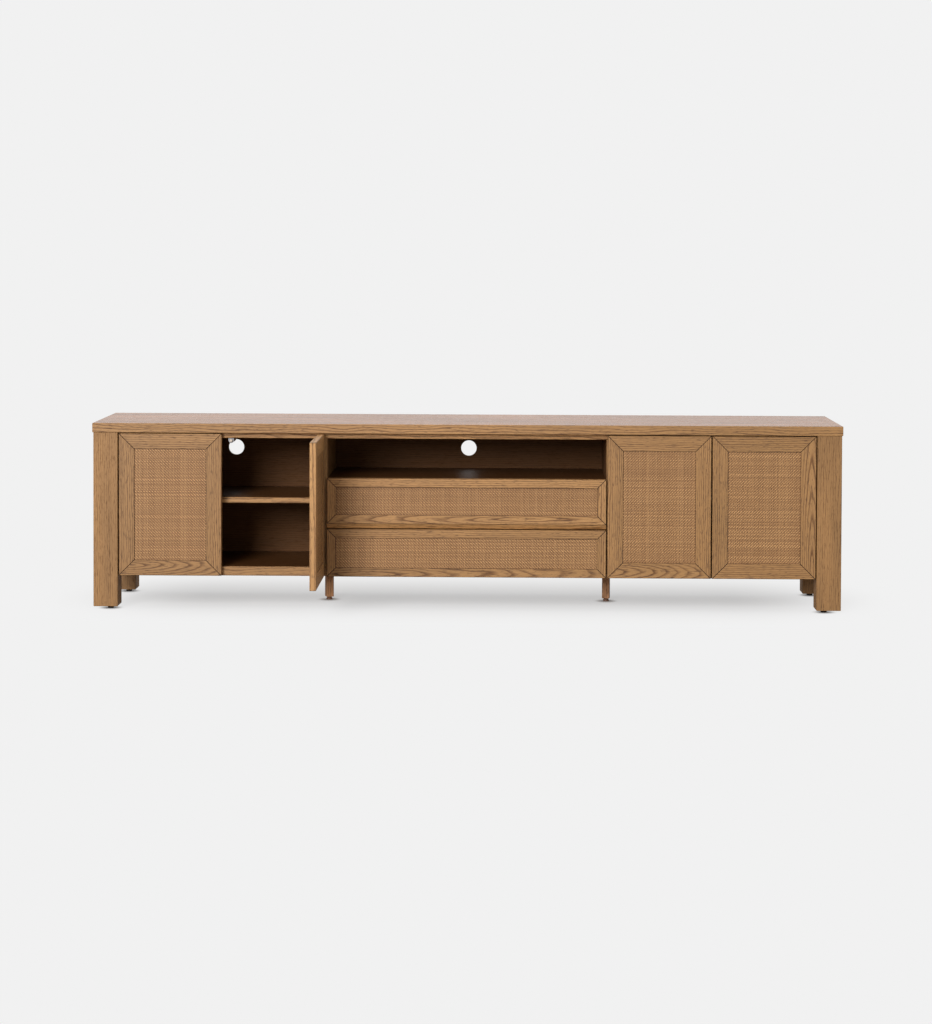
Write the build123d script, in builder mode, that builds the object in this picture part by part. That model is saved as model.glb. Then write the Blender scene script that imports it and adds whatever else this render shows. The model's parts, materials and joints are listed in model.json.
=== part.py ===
from build123d import *
import os
from math import radians, sqrt, tan

os.makedirs("parts", exist_ok=True)

# Media unit: an oak cabinet on four corner posts, with two pairs of cane doors either side of an
# open bay and two cane drawers. X runs along the front, Y to the back and Z up, from the floor
# under the middle of the top. All sizes are millimetres. The second door stands open.

# Top and posts
top_length = 2400
top_depth = 450
unit_height = 600
top_thickness = 30
top_overhang = 3
post_width = 78
post_depth = 78
post_lift = 10
edge_break = 1.2

# Carcass boards
board_thickness = 18
base_thickness = 30
base_lift = 108
back_thickness = 9
back_inset = 32
centre_bay_half = 448
open_shelf_height = 423
end_panel_inset = 8
back_split_gap = 0.5

# Shelves on pins, each with a flat tongue
shelf_height = 358
shelf_front_setback = 26
shelf_end_gap = 2
shelf_back_gap = 2
shelf_pin_radius = 2.5
shelf_pin_bite = 9
shelf_pin_reach = 9
shelf_pin_tongue_width = 10
shelf_pin_tongue = 3
pin_hole_fit = 0.15
pin_hole_depth = 10
pin_row_setback = 45
pin_seat_gap = 0.2

# Cable holes, one behind each bay
cable_hole_radius = 26
cable_hole_drop = 80

# Centre legs, screwed in, so each stops at its own angle
centre_leg_size = 24
centre_leg_setback = 25
centre_leg_turn_left = 20
centre_leg_turn_right = -8

# Glides and screwed studs
glide_radius = 10
glide_round = 1.5
stud_radius = 4
stud_reach = 22
stud_hole_depth = 26
stud_fit = 0.3
glide_inset = 11

# Doors: a mitred frame, rebated behind for a cane sheet and its backing board
door_recess = 3
door_thickness = 20
door_standoff = 3
door_side_gap = 3
door_pair_gap = 4
door_top_gap = 3
door_bottom_cover = 2
door_frame_face = 50
mitre_gap = 0.2
rebate_lip = 3
rebate_width = 8
cane_thickness = 1.2
backing_thickness = 9
panel_fit = 0.5

# Drawers
drawer_side_gap = 4
drawer_frame_face = 29
lower_front_height = 153
drawer_gap = 3
front_above_shelf = 3
finger_lip_height = 14.5
finger_lip_bevel = 8
box_height = 108
box_board = 12
box_depth = 356
box_bottom_thickness = 6
box_bottom_lift = 8
box_groove = 6
groove_fit = 0.2
box_joint_gap = 0.1
lower_box_rise = 36
upper_box_rise = 15

# Telescopic runners: three nested steel channels on each side of a drawer
runner_thickness = 12.7
runner_steel = 1.2
runner_half_height = 22.5
runner_gap = 0.5
runner_length = 350
runner_setback = 6
cabinet_rail_depth = 9
middle_rail_reach = 10.5
drawer_rail_depth = 8.7

# Cup hinges: an arm on the panel, a cup in the door and a curved link between their two pins.
# Opening the door by a right angle turns the link back by link_swing.
cup_radius = 17.5
cup_edge = 3.5
cup_depth = 12.8
cup_wall = 1
cup_floor = 0.8
cup_fit = 0.1
recess_depth = 13
flange_length = 62
flange_width = 20
flange_corner = 6
flange_thickness = 1
hinge_end_distance = 70
pin_inset = 10
pin_depth = 10
hinge_pin_radius = 0.9
hinge_pin_fit = 0.2
link_eye_radius = 1.9
link_thickness = 2
link_half_height = 3
link_bend_radius = 2.5
link_swing = 20
open_shift = 4.5
open_throw = 13
link_corner_clear = 4
link_cup_clear = 0.5
link_cup_reach = 7
arm_length = 78
arm_height = 13
arm_half_height = 6
arm_nose_radius = 3.2
arm_slot_fit = 0.3
arm_shoulder = 9
arm_toe = 14
plate_thickness = 3
plate_length = 44
plate_half_height = 25
plate_setback = 10

# Push latches under the top, one for each door, with a strike on the door
latch_width = 18
latch_drop = 17
latch_length = 70
latch_setback = 6
latch_inset = 23.5
plunger_radius = 4
plunger_fit = 0.4
plunger_length = 46
plunger_bore_depth = 56
plunger_tip_radius = 5
plunger_tip_length = 3
strike_size = 14
strike_thickness = 1
strike_gap = 0.3

# Flat sides that stand for the curve of small round pieces, which repeat many times
pin_sides = 10
stud_sides = 12
plunger_sides = 12
cup_sides = 20

# Planes that everything is set out from
post_front = -top_depth / 2 + top_overhang
post_rear = -post_front
post_outer = top_length / 2 - top_overhang
post_inner = post_outer - post_width
door_front = post_front + door_recess
door_back = door_front + door_thickness
carcass_front = door_back + door_standoff
back_rear = post_rear - back_inset
carcass_rear = back_rear - back_thickness
top_underside = unit_height - top_thickness
sub_top_underside = top_underside - board_thickness
base_top = base_lift + base_thickness
divider_outer = centre_bay_half + board_thickness
side_inner = post_inner - board_thickness
end_panel_outer = post_outer - end_panel_inset
end_panel_inner = end_panel_outer - board_thickness
side_bay_centre = (divider_outer + side_inner) / 2
post_x = post_outer - post_width / 2
post_y = post_rear - post_depth / 2
post_face_y = post_rear - post_depth

# Doors and drawers, set out from the same planes
door_bottom = base_lift + door_bottom_cover
door_top = top_underside - door_top_gap
door_height = door_top - door_bottom
door_middle = (door_top + door_bottom) / 2
panel_cover = board_thickness - door_side_gap
door_inner_edge = centre_bay_half + door_side_gap
door_outer_edge = post_inner - door_side_gap
door_width = (door_outer_edge - door_inner_edge - door_pair_gap) / 2
drawer_half_width = door_inner_edge - drawer_side_gap
lower_front_top = door_bottom + lower_front_height
upper_front_bottom = lower_front_top + drawer_gap
upper_front_top = open_shelf_height + front_above_shelf
box_half_width = centre_bay_half - runner_thickness
hinge_offset = door_height / 2 - hinge_end_distance
latch_height = sub_top_underside - latch_drop / 2

# The hinge's two pins, as distance into the bay from the panel's face, and depth along Y
swing_reach = 1 / tan(radians(link_swing / 2)) / 2
cup_pin_bay = pin_inset - panel_cover
cup_pin_y = door_front + pin_depth
open_face_bay = open_shift - panel_cover
open_edge_y = door_front + open_throw
cup_pin_travel_bay = open_face_bay + pin_depth - cup_pin_bay
cup_pin_travel_y = open_edge_y - pin_inset - cup_pin_y
arm_pin_bay = cup_pin_bay + cup_pin_travel_bay / 2 - swing_reach * cup_pin_travel_y
arm_pin_y = cup_pin_y + cup_pin_travel_y / 2 + swing_reach * cup_pin_travel_bay

# Each door: the face of the panel that carries it, the way it runs from there, and if it is open
doors = {
    "door_1": (-side_inner, 1, False),
    "door_2": (-divider_outer, -1, True),
    "door_3": (divider_outer, 1, False),
    "door_4": (side_inner, -1, False),
}


def save(piece, name):
    """Label a finished piece and write it out."""
    piece.part.label = name
    export_step(piece.part, f"parts/{name}.step")


def middle(low, high):
    return (low + high) / 2


def board(x_span, y_span, z_span, softened=edge_break):
    """A straight board between three pairs of planes, its edges eased."""
    with BuildPart() as piece:
        with BuildSketch(Plane.XY.offset(z_span[0])):
            with Locations((middle(*x_span), middle(*y_span))):
                Rectangle(x_span[1] - x_span[0], y_span[1] - y_span[0])
        extrude(amount=z_span[1] - z_span[0])
        if softened:
            chamfer(piece.edges(), softened)
    return piece


def stud_hole(centre, underside):
    """A blind hole, drilled upwards, for the stud of a glide or a leg."""
    with BuildSketch(Plane.XY.offset(underside)) as mouth:
        with Locations(centre):
            RegularPolygon(stud_radius + stud_fit, stud_sides)
    extrude(mouth.sketch, amount=stud_hole_depth, mode=Mode.SUBTRACT)


def stud(centre, seat):
    """The screwed stud that stands up from a glide or a leg."""
    with BuildSketch(Plane.XY.offset(seat)) as section:
        with Locations(centre):
            RegularPolygon(stud_radius, stud_sides)
    extrude(section.sketch, amount=stud_reach)


# Top: one thick slab over the posts
top_slab = board(
    (-top_length / 2, top_length / 2),
    (-top_depth / 2, top_depth / 2),
    (top_underside, unit_height),
)
save(top_slab, "top_slab")

# Corner posts, square in section, drilled underneath for their glides
glide_places = []
for depth_word, y_side in (("front", -1), ("rear", 1)):
    for side_word, x_side in (("left", -1), ("right", 1)):
        glide_place = (x_side * (post_x - glide_inset), y_side * post_y)
        glide_places.append(glide_place)
        with BuildPart() as post:
            with BuildSketch(Plane.XY.offset(post_lift)) as post_section:
                with Locations((x_side * post_x, y_side * post_y)):
                    Rectangle(post_width, post_depth)
                chamfer(post_section.vertices(), edge_break)
            extrude(amount=top_underside - post_lift)
            chamfer(post.faces().sort_by(Axis.Z)[0].edges(), edge_break)
            stud_hole(glide_place, post_lift)
        save(post, f"post_{depth_word}_{side_word}")

# Centre legs under the dividers, with a stud up into the base and a glide below
leg_centre_x = centre_bay_half + board_thickness / 2
for side_word, x_side, leg_turn in (
    ("left", -1, centre_leg_turn_left),
    ("right", 1, centre_leg_turn_right),
):
    leg_place = (x_side * leg_centre_x, centre_leg_setback)
    glide_places.append(leg_place)
    with BuildPart() as centre_leg:
        with BuildSketch(Plane.XY.offset(post_lift)) as leg_section:
            with Locations(Location((*leg_place, 0), (0, 0, leg_turn))):
                Rectangle(centre_leg_size, centre_leg_size)
            chamfer(leg_section.vertices(), edge_break)
        extrude(amount=base_lift - post_lift)
        stud(leg_place, base_lift)
        stud_hole(leg_place, post_lift)
    save(centre_leg, f"centre_leg_{side_word}")

# Glides: a round foot, eased at the floor, and a stud up into the post or leg
with BuildPart() as levelling_feet:
    for glide_place in glide_places:
        glide_plane = Plane((*glide_place, 0), x_dir=(1, 0, 0), z_dir=(0, -1, 0))
        with BuildSketch(glide_plane):
            with BuildLine():
                Polyline(
                    (0, 0),
                    (glide_radius - glide_round, 0),
                    (glide_radius, glide_round),
                    (glide_radius, post_lift),
                    (0, post_lift),
                    close=True,
                )
            make_face()
        revolve(axis=Axis((*glide_place, 0), (0, 0, 1)))
        stud(glide_place, post_lift)
save(levelling_feet, "levelling_feet")


def plate_between_posts(z_low, z_high):
    """A full-width board with a tab at each end, which reaches out between the posts."""
    with BuildPart() as piece:
        with BuildSketch(Plane.XY.offset(z_low)):
            with Locations((0, middle(carcass_front, carcass_rear))):
                Rectangle(2 * post_inner, carcass_rear - carcass_front)
            Rectangle(2 * end_panel_inner, 2 * post_face_y)
        extrude(amount=z_high - z_low)
        chamfer(piece.faces().sort_by(Axis.Y)[0].edges(), edge_break)
    return piece


# Base, drilled for the centre legs' studs, and the board under the top
base_panel = plate_between_posts(base_lift, base_top)
with base_panel:
    for x_side in (-1, 1):
        stud_hole((x_side * leg_centre_x, centre_leg_setback), base_lift)
save(base_panel, "base_panel")

sub_top = plate_between_posts(sub_top_underside, top_underside)
save(sub_top, "sub_top")

# Upright panels, each drilled on its bay face for two shelf pins
shelf_pin_height = shelf_height - board_thickness - shelf_pin_radius - pin_seat_gap
pin_rows = (carcass_front + pin_row_setback, carcass_rear - pin_row_setback)
uprights = {
    "side_panel_left": ((-post_inner, -side_inner), -side_inner, 1),
    "divider_left": ((-divider_outer, -centre_bay_half), -divider_outer, -1),
    "divider_right": ((centre_bay_half, divider_outer), divider_outer, 1),
    "side_panel_right": ((side_inner, post_inner), side_inner, -1),
}
pin_planes = []
for upright_name, (x_span, bay_face, into_bay) in uprights.items():
    upright = board(x_span, (carcass_front, carcass_rear), (base_top, sub_top_underside), 0)
    with upright:
        chamfer(upright.faces().sort_by(Axis.Y)[0].edges(), edge_break)
        for pin_y in pin_rows:
            pin_origin = (bay_face, pin_y, shelf_pin_height)
            pin_plane = Plane(pin_origin, x_dir=(0, into_bay, 0), z_dir=(into_bay, 0, 0))
            with BuildSketch(pin_plane) as pin_mouth:
                RegularPolygon(shelf_pin_radius + pin_hole_fit, pin_sides)
            extrude(pin_mouth.sketch, amount=-pin_hole_depth, mode=Mode.SUBTRACT)
            pin_planes.append(pin_plane)
    save(upright, upright_name)

# End panels, set between the posts a little behind their outer faces
for side_word, x_span in (
    ("left", (-end_panel_outer, -end_panel_inner)),
    ("right", (end_panel_inner, end_panel_outer)),
):
    end_panel = board(x_span, (-post_face_y, post_face_y), (base_lift, top_underside), 0)
    save(end_panel, f"end_panel_{side_word}")

# Back, in three boards that meet behind the dividers, each with a round cable hole
back_joint = leg_centre_x
cable_hole_height = top_underside - cable_hole_drop
with BuildPart() as back_panels:
    back_plane = Plane((0, back_rear, 0), x_dir=(-1, 0, 0), z_dir=(0, 1, 0))
    with BuildSketch(back_plane):
        with Locations((0, middle(base_lift, top_underside))):
            Rectangle(2 * post_inner, top_underside - base_lift)
            with Locations((-back_joint, 0), (back_joint, 0)):
                Rectangle(back_split_gap, top_underside - base_lift, mode=Mode.SUBTRACT)
        with Locations(*[(x, cable_hole_height) for x in (-side_bay_centre, 0, side_bay_centre)]):
            Circle(cable_hole_radius, mode=Mode.SUBTRACT)
    extrude(amount=-back_thickness)
save(back_panels, "back_panels")

# Open shelf of the middle bay
av_shelf = board(
    (-centre_bay_half, centre_bay_half),
    (carcass_front, carcass_rear),
    (open_shelf_height - board_thickness, open_shelf_height),
    0,
)
save(av_shelf, "av_shelf")

# Adjustable shelves of the side bays
shelf_span = (divider_outer + shelf_end_gap, side_inner - shelf_end_gap)
shelf_depth = (carcass_front + shelf_front_setback, carcass_rear - shelf_back_gap)
shelf_rise = (shelf_height - board_thickness, shelf_height)
shelf_left = board((-shelf_span[1], -shelf_span[0]), shelf_depth, shelf_rise)
save(shelf_left, "shelf_left")
shelf_right = board(shelf_span, shelf_depth, shelf_rise)
save(shelf_right, "shelf_right")

# Shelf pins: a peg in each hole, with a tongue level with its top for the shelf to lie on
with BuildPart() as shelf_pins:
    for pin_plane in pin_planes:
        with BuildSketch(pin_plane):
            RegularPolygon(shelf_pin_radius, pin_sides)
        extrude(amount=-shelf_pin_bite)
        with BuildSketch(pin_plane):
            with Locations((0, shelf_pin_radius - shelf_pin_tongue / 2)):
                Rectangle(shelf_pin_tongue_width, shelf_pin_tongue)
        extrude(amount=shelf_pin_reach)
save(shelf_pins, "shelf_pins")


def frame_section(member_face):
    """Section across a frame member: front edge bevelled, inner edge rebated from behind."""
    Polyline(
        (0, edge_break),
        (edge_break, 0),
        (member_face, 0),
        (member_face, rebate_lip),
        (member_face - rebate_width, rebate_lip),
        (member_face - rebate_width, door_thickness),
        (0, door_thickness),
        close=True,
    )


def mitred_member(corner, across, along, length, member_face):
    """One frame member, run to its section and cut to a mitre at each end."""
    half_gap = mitre_gap / 2
    with BuildPart() as member:
        with BuildSketch(Plane(corner, x_dir=across, z_dir=along)):
            with BuildLine():
                frame_section(member_face)
            make_face()
        extrude(amount=length)
        split(bisect_by=Plane(corner, z_dir=along - across).offset(half_gap), keep=Keep.TOP)
        far_corner = corner + along * length
        split(bisect_by=Plane(far_corner, z_dir=along + across).offset(-half_gap), keep=Keep.BOTTOM)
    return member.part


def mitred_frame(plane, width, height, member_face):
    """Four mitred members round a window, starting up the edge at the plane's origin."""
    right = plane.x_dir
    up = plane.y_dir
    foot = plane.origin - up * (height / 2)
    head = plane.origin + up * (height / 2)
    return [
        mitred_member(foot, right, up, height, member_face),
        mitred_member(head, up * -1, right, width, member_face),
        mitred_member(head + right * width, right * -1, up * -1, height, member_face),
        mitred_member(foot + right * width, up, right * -1, width, member_face),
    ]


def window_board(plane, width, height, member_face, depth, thickness):
    """A sheet that lies in the frame's rebate, a given depth behind the face."""
    border = member_face - rebate_width + panel_fit
    with BuildPart() as sheet:
        with BuildSketch(plane.offset(-depth)):
            with Locations((width / 2, 0)):
                Rectangle(width - 2 * border, height - 2 * border)
        extrude(amount=-thickness)
    return sheet


backing_depth = rebate_lip + cane_thickness


def door_plane(panel_face, into_bay, is_open):
    """The door's outer face: origin on its hinge edge at mid height, X towards its free edge."""
    if is_open:
        origin = (panel_face + into_bay * open_face_bay, open_edge_y, door_middle)
        return Plane(origin, x_dir=(0, -1, 0), z_dir=(-into_bay, 0, 0))
    origin = (panel_face - into_bay * panel_cover, door_front, door_middle)
    return Plane(origin, x_dir=(into_bay, 0, 0), z_dir=(0, -1, 0))


def hinge_cup(face_plane, hinge_rise):
    """A steel cup let into the door from behind, with its flange and the pin across it."""
    centre = (cup_edge + cup_radius, hinge_rise)
    inside = face_plane.offset(-door_thickness)
    cup_bore = cup_radius - cup_wall
    pin_half = sqrt(cup_bore**2 - (cup_edge + cup_radius - pin_inset) ** 2)
    with BuildPart() as cup:
        with BuildSketch(inside):
            with Locations(centre):
                RegularPolygon(cup_radius - cup_fit, cup_sides)
        extrude(amount=cup_depth)
        with BuildSketch(inside) as flange:
            with Locations(centre):
                Rectangle(flange_width, flange_length)
            chamfer(flange.vertices(), flange_corner)
        extrude(amount=-flange_thickness)
        with BuildSketch(inside.offset(-flange_thickness)):
            with Locations(centre):
                RegularPolygon(cup_bore, cup_sides)
        extrude(amount=flange_thickness + cup_depth - cup_floor, mode=Mode.SUBTRACT)
        pin_origin = inside.from_local_coords((pin_inset, hinge_rise, door_thickness - pin_depth))
        with BuildSketch(Plane(pin_origin, z_dir=face_plane.y_dir)):
            Circle(hinge_pin_radius)
        extrude(amount=pin_half, both=True)
    return cup.part


# Hinge link, drawn from the arm's pin at the origin, with the door open: it goes round the
# corner of the door and into the cup
link_tip = (cup_pin_bay + cup_pin_travel_bay - arm_pin_bay, cup_pin_y + cup_pin_travel_y - arm_pin_y)
open_inner_bay = open_face_bay + door_thickness - arm_pin_bay
open_corner_y = open_edge_y - arm_pin_y
link_shoulder = (open_inner_bay + link_corner_clear, open_corner_y - link_corner_clear)
link_elbow = (open_inner_bay + link_cup_clear, open_corner_y - link_cup_reach)


def hinge_link(pin_plane):
    """A flat curved link with an eye at each end."""
    with BuildPart() as link:
        with BuildSketch(pin_plane):
            with BuildLine():
                FilletPolyline((0, 0), link_shoulder, link_elbow, link_tip, radius=link_bend_radius)
            trace(line_width=link_thickness)
            with Locations((0, 0), link_tip):
                RegularPolygon(link_eye_radius, pin_sides)
                RegularPolygon(hinge_pin_radius + hinge_pin_fit, pin_sides, mode=Mode.SUBTRACT)
        extrude(amount=link_half_height, both=True)
    return link.part


def hinge_arm(panel_face, into_bay, hinge_height):
    """A mounting plate and an arm, forked at its nose round the link's pin."""
    arm_plane = Plane((panel_face, 0, hinge_height), x_dir=(into_bay, 0, 0), z_dir=(0, 0, into_bay))
    nose_outer = arm_pin_bay + arm_nose_radius
    nose_inner = arm_pin_bay - arm_nose_radius
    arm_rear = carcass_front + arm_length
    plate_front = carcass_front + plate_setback
    with BuildPart() as arm:
        with BuildSketch(arm_plane):
            with BuildLine():
                Polyline(
                    (0, arm_rear),
                    (arm_height, arm_rear),
                    (nose_outer, arm_pin_y + arm_shoulder),
                    (nose_outer, arm_pin_y),
                    (nose_inner, arm_pin_y),
                    (nose_inner, carcass_front + hinge_pin_radius),
                    (0, carcass_front + arm_toe),
                    close=True,
                )
            make_face()
            with Locations((arm_pin_bay, arm_pin_y)):
                RegularPolygon(arm_nose_radius, pin_sides)
        extrude(amount=arm_half_height, both=True)
        with BuildSketch(arm_plane):
            with Locations((arm_pin_bay, arm_pin_y)):
                Rectangle(4 * arm_nose_radius, 2 * arm_nose_radius)
        extrude(amount=link_half_height + arm_slot_fit, both=True, mode=Mode.SUBTRACT)
        with BuildSketch(arm_plane):
            with Locations((arm_pin_bay, arm_pin_y)):
                Circle(hinge_pin_radius)
        extrude(amount=arm_half_height, both=True)
        with BuildSketch(arm_plane):
            with Locations((plate_thickness / 2, plate_front + plate_length / 2)):
                Rectangle(plate_thickness, plate_length)
        extrude(amount=plate_half_height, both=True)
    return arm.part


# Doors, with their cups, strikes and links
hinge_heights = (door_middle - hinge_offset, door_middle + hinge_offset)
arms = []
latch_places = {}
for door_name, (panel_face, into_bay, is_open) in doors.items():
    face = door_plane(panel_face, into_bay, is_open)

    with BuildPart() as door_frame:
        add(mitred_frame(face, door_width, door_height, door_frame_face))
        with BuildSketch(face.offset(-door_thickness)):
            with Locations(*[(cup_edge + cup_radius, side * hinge_offset) for side in (-1, 1)]):
                RegularPolygon(cup_radius, cup_sides)
        extrude(amount=recess_depth, mode=Mode.SUBTRACT)
    save(door_frame, f"{door_name}_frame")

    door_cane = window_board(
        face, door_width, door_height, door_frame_face, rebate_lip, cane_thickness
    )
    save(door_cane, f"{door_name}_cane")
    door_backing = window_board(
        face, door_width, door_height, door_frame_face, backing_depth, backing_thickness
    )
    save(door_backing, f"{door_name}_backing")

    with BuildPart() as door_fittings:
        for side in (-1, 1):
            add(hinge_cup(face, side * hinge_offset))
        with BuildSketch(face.offset(-door_thickness)):
            with Locations((door_width - latch_inset, into_bay * (latch_height - door_middle))):
                Rectangle(strike_size, strike_size)
        extrude(amount=-strike_thickness)
    save(door_fittings, f"{door_name}_fittings")

    link_turn = 0 if is_open else -into_bay * link_swing
    link_run = Vector(into_bay, 0, 0).rotate(Axis.Z, link_turn)
    with BuildPart() as hinge_links:
        for hinge_height in hinge_heights:
            pin_point = (panel_face + into_bay * arm_pin_bay, arm_pin_y, hinge_height)
            add(hinge_link(Plane(pin_point, x_dir=link_run, z_dir=(0, 0, into_bay))))
    save(hinge_links, f"{door_name}_hinge_links")

    arms.extend(hinge_arm(panel_face, into_bay, height) for height in hinge_heights)
    latch_places[door_name] = panel_face + into_bay * (door_width - latch_inset - panel_cover)

with BuildPart() as hinge_arms:
    add(arms)
save(hinge_arms, "hinge_arms")

# Push latches: a housing screwed under the top with a sprung plunger in its bore
latch_front = carcass_front + latch_setback
plunger_front = door_back + strike_thickness + strike_gap
with BuildPart() as latch_housings:
    for latch_x in latch_places.values():
        latch_plane = Plane((latch_x, latch_front, latch_height), x_dir=(1, 0, 0), z_dir=(0, -1, 0))
        with BuildSketch(latch_plane):
            Circle(latch_drop / 2)
            with Locations((0, latch_drop / 4)):
                Rectangle(latch_width, latch_drop / 2)
        extrude(amount=-latch_length)
        with BuildSketch(latch_plane):
            RegularPolygon(plunger_radius + plunger_fit, plunger_sides)
        extrude(amount=-plunger_bore_depth, mode=Mode.SUBTRACT)
save(latch_housings, "latch_housings")

for door_name, latch_x in latch_places.items():
    tip_plane = Plane((latch_x, plunger_front, latch_height), x_dir=(1, 0, 0), z_dir=(0, -1, 0))
    with BuildPart() as plunger:
        with BuildSketch(tip_plane):
            RegularPolygon(plunger_tip_radius, plunger_sides)
        extrude(amount=-plunger_tip_length)
        with BuildSketch(tip_plane):
            RegularPolygon(plunger_radius, plunger_sides)
        extrude(amount=-plunger_length)
        chamfer(plunger.faces().sort_by(Axis.Y)[0].edges(), edge_break)
    save(plunger, f"{door_name}_latch_plunger")


def runner_channel(face_x, into_bay, runner_height, near, far, half_height, opening):
    """One steel channel of a runner, folded open towards the bay (1) or the cabinet (-1)."""
    rail_origin = (face_x, carcass_front + runner_setback, runner_height)
    section_plane = Plane(rail_origin, x_dir=(into_bay, 0, 0), z_dir=(0, -into_bay, 0))
    with BuildPart() as rail:
        with BuildSketch(section_plane):
            with Locations((middle(near, far), 0)):
                Rectangle(far - near, 2 * half_height)
            with Locations((middle(near, far) + opening * runner_steel, 0)):
                Rectangle(far - near, 2 * (half_height - runner_steel), mode=Mode.SUBTRACT)
        extrude(amount=-into_bay * runner_length)
    return rail.part


def runner_pair(runner_height, near, far, half_height, opening):
    """The same channel on both sides of the middle bay."""
    return [
        runner_channel(side * -centre_bay_half, side, runner_height, near, far, half_height, opening)
        for side in (1, -1)
    ]


def drawer_box(box_low):
    """Sides, ends and a bottom that slides in grooves, as five separate boards."""
    box_back = door_back + box_depth
    groove_low = box_low + box_bottom_lift
    inner_half = box_half_width - box_board
    grooves = ((-inner_half - box_groove, inner_half + box_groove),
               (door_back + box_board - box_groove, box_back - box_board + box_groove))
    with BuildPart() as walls:
        with BuildSketch(Plane.XY.offset(box_low)):
            with Locations((0, middle(door_back, box_back))):
                Rectangle(2 * box_half_width, box_depth)
                Rectangle(2 * inner_half, box_depth - 2 * box_board, mode=Mode.SUBTRACT)
            with Locations(*[(side * inner_half, middle(door_back, box_back)) for side in (-1, 1)]):
                Rectangle(2 * box_joint_gap, box_depth, mode=Mode.SUBTRACT)
        extrude(amount=box_height)
        with BuildSketch(Plane.XY.offset(groove_low - groove_fit)):
            with Locations((0, middle(*grooves[1]))):
                Rectangle(grooves[0][1] - grooves[0][0], grooves[1][1] - grooves[1][0])
        extrude(amount=box_bottom_thickness + 2 * groove_fit, mode=Mode.SUBTRACT)
    with BuildPart() as floor_board:
        with BuildSketch(Plane.XY.offset(groove_low)):
            with Locations((0, middle(*grooves[1]))):
                Rectangle(
                    grooves[0][1] - grooves[0][0] - 2 * groove_fit,
                    grooves[1][1] - grooves[1][0] - 2 * groove_fit,
                )
        extrude(amount=box_bottom_thickness)
    return [walls.part, floor_board.part]


def drawer_front(front_low, front_high):
    """The plane of a drawer front, with its origin on the left edge at mid height."""
    origin = (-drawer_half_width, door_front, middle(front_low, front_high))
    return Plane(origin, x_dir=(1, 0, 0), z_dir=(0, -1, 0))


# Drawers: the upper front carries a bevelled lip below its frame, the finger pull for the lower
drawers = {
    "upper_drawer": (upper_front_bottom, finger_lip_height, upper_front_top, upper_box_rise),
    "lower_drawer": (door_bottom, 0, lower_front_top, lower_box_rise),
}
middle_near = runner_steel + runner_gap
middle_half = runner_half_height - runner_steel - runner_gap
drawer_rail_half = middle_half - runner_steel - runner_gap
drawer_rail_near = runner_thickness - drawer_rail_depth
fixed_rails = []
for drawer_name, (front_low, lip_height, front_high, box_rise) in drawers.items():
    frame_low = front_low + lip_height
    face = drawer_front(frame_low, front_high)
    front_width = 2 * drawer_half_width
    front_height = front_high - frame_low
    box_low = front_low + box_rise
    rail_height = box_low + box_height / 2

    with BuildPart() as front_frame:
        add(mitred_frame(face, front_width, front_height, drawer_frame_face))
        if lip_height:
            lip_plane = Plane((-drawer_half_width, door_front, frame_low), (0, 1, 0), (1, 0, 0))
            with BuildSketch(lip_plane):
                with BuildLine():
                    Polyline(
                        (0, -mitre_gap),
                        (door_thickness, -mitre_gap),
                        (door_thickness, -lip_height),
                        (finger_lip_bevel, -lip_height),
                        close=True,
                    )
                make_face()
            extrude(amount=front_width)
    save(front_frame, f"{drawer_name}_front")

    front_cane = window_board(
        face, front_width, front_height, drawer_frame_face, rebate_lip, cane_thickness
    )
    save(front_cane, f"{drawer_name}_cane")
    front_backing = window_board(
        face, front_width, front_height, drawer_frame_face, backing_depth, backing_thickness
    )
    save(front_backing, f"{drawer_name}_backing")

    with BuildPart() as box:
        add(drawer_box(box_low))
    save(box, f"{drawer_name}_box")

    with BuildPart() as middle_rails:
        add(runner_pair(rail_height, middle_near, middle_rail_reach, middle_half, 1))
    save(middle_rails, f"{drawer_name}_middle_rails")

    with BuildPart() as drawer_rails:
        add(runner_pair(rail_height, drawer_rail_near, runner_thickness, drawer_rail_half, -1))
    save(drawer_rails, f"{drawer_name}_rails")

    fixed_rails.extend(runner_pair(rail_height, 0, cabinet_rail_depth, runner_half_height, 1))

with BuildPart() as cabinet_rails:
    add(fixed_rails)
save(cabinet_rails, "cabinet_rails")
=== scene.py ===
import json
from functools import partial
from math import cos, pi, radians, sin
from random import Random

import bmesh
import bpy
from bpy.props import FloatProperty, FloatVectorProperty, IntProperty, PointerProperty
from mathutils import Matrix, Vector
from mathutils.geometry import tessellate_polygon


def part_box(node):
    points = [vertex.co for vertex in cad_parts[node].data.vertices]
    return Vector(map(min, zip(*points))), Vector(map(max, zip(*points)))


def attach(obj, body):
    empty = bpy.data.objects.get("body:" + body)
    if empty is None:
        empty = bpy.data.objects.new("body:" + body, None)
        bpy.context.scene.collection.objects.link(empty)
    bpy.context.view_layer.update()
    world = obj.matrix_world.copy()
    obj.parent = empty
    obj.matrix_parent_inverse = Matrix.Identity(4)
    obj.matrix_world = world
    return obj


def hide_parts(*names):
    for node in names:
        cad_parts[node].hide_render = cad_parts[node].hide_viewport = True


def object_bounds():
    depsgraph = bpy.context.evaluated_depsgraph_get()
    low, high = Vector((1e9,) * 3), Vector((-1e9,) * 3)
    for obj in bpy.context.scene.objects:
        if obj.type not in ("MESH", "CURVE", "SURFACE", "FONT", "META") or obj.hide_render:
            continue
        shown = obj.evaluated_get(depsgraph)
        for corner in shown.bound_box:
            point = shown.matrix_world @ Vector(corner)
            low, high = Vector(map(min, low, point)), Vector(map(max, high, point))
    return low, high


bl_info = {
    "name": "Media unit in oak veneer and woven cane",
    "version": (1, 0, 0),
    "blender": (4, 5, 0),
    "location": "3D View > Sidebar > Media unit",
    "description": "Dresses the packed media unit: figured oak, woven cane, hinges, runners and feet",
    "category": "Object",
}

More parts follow.
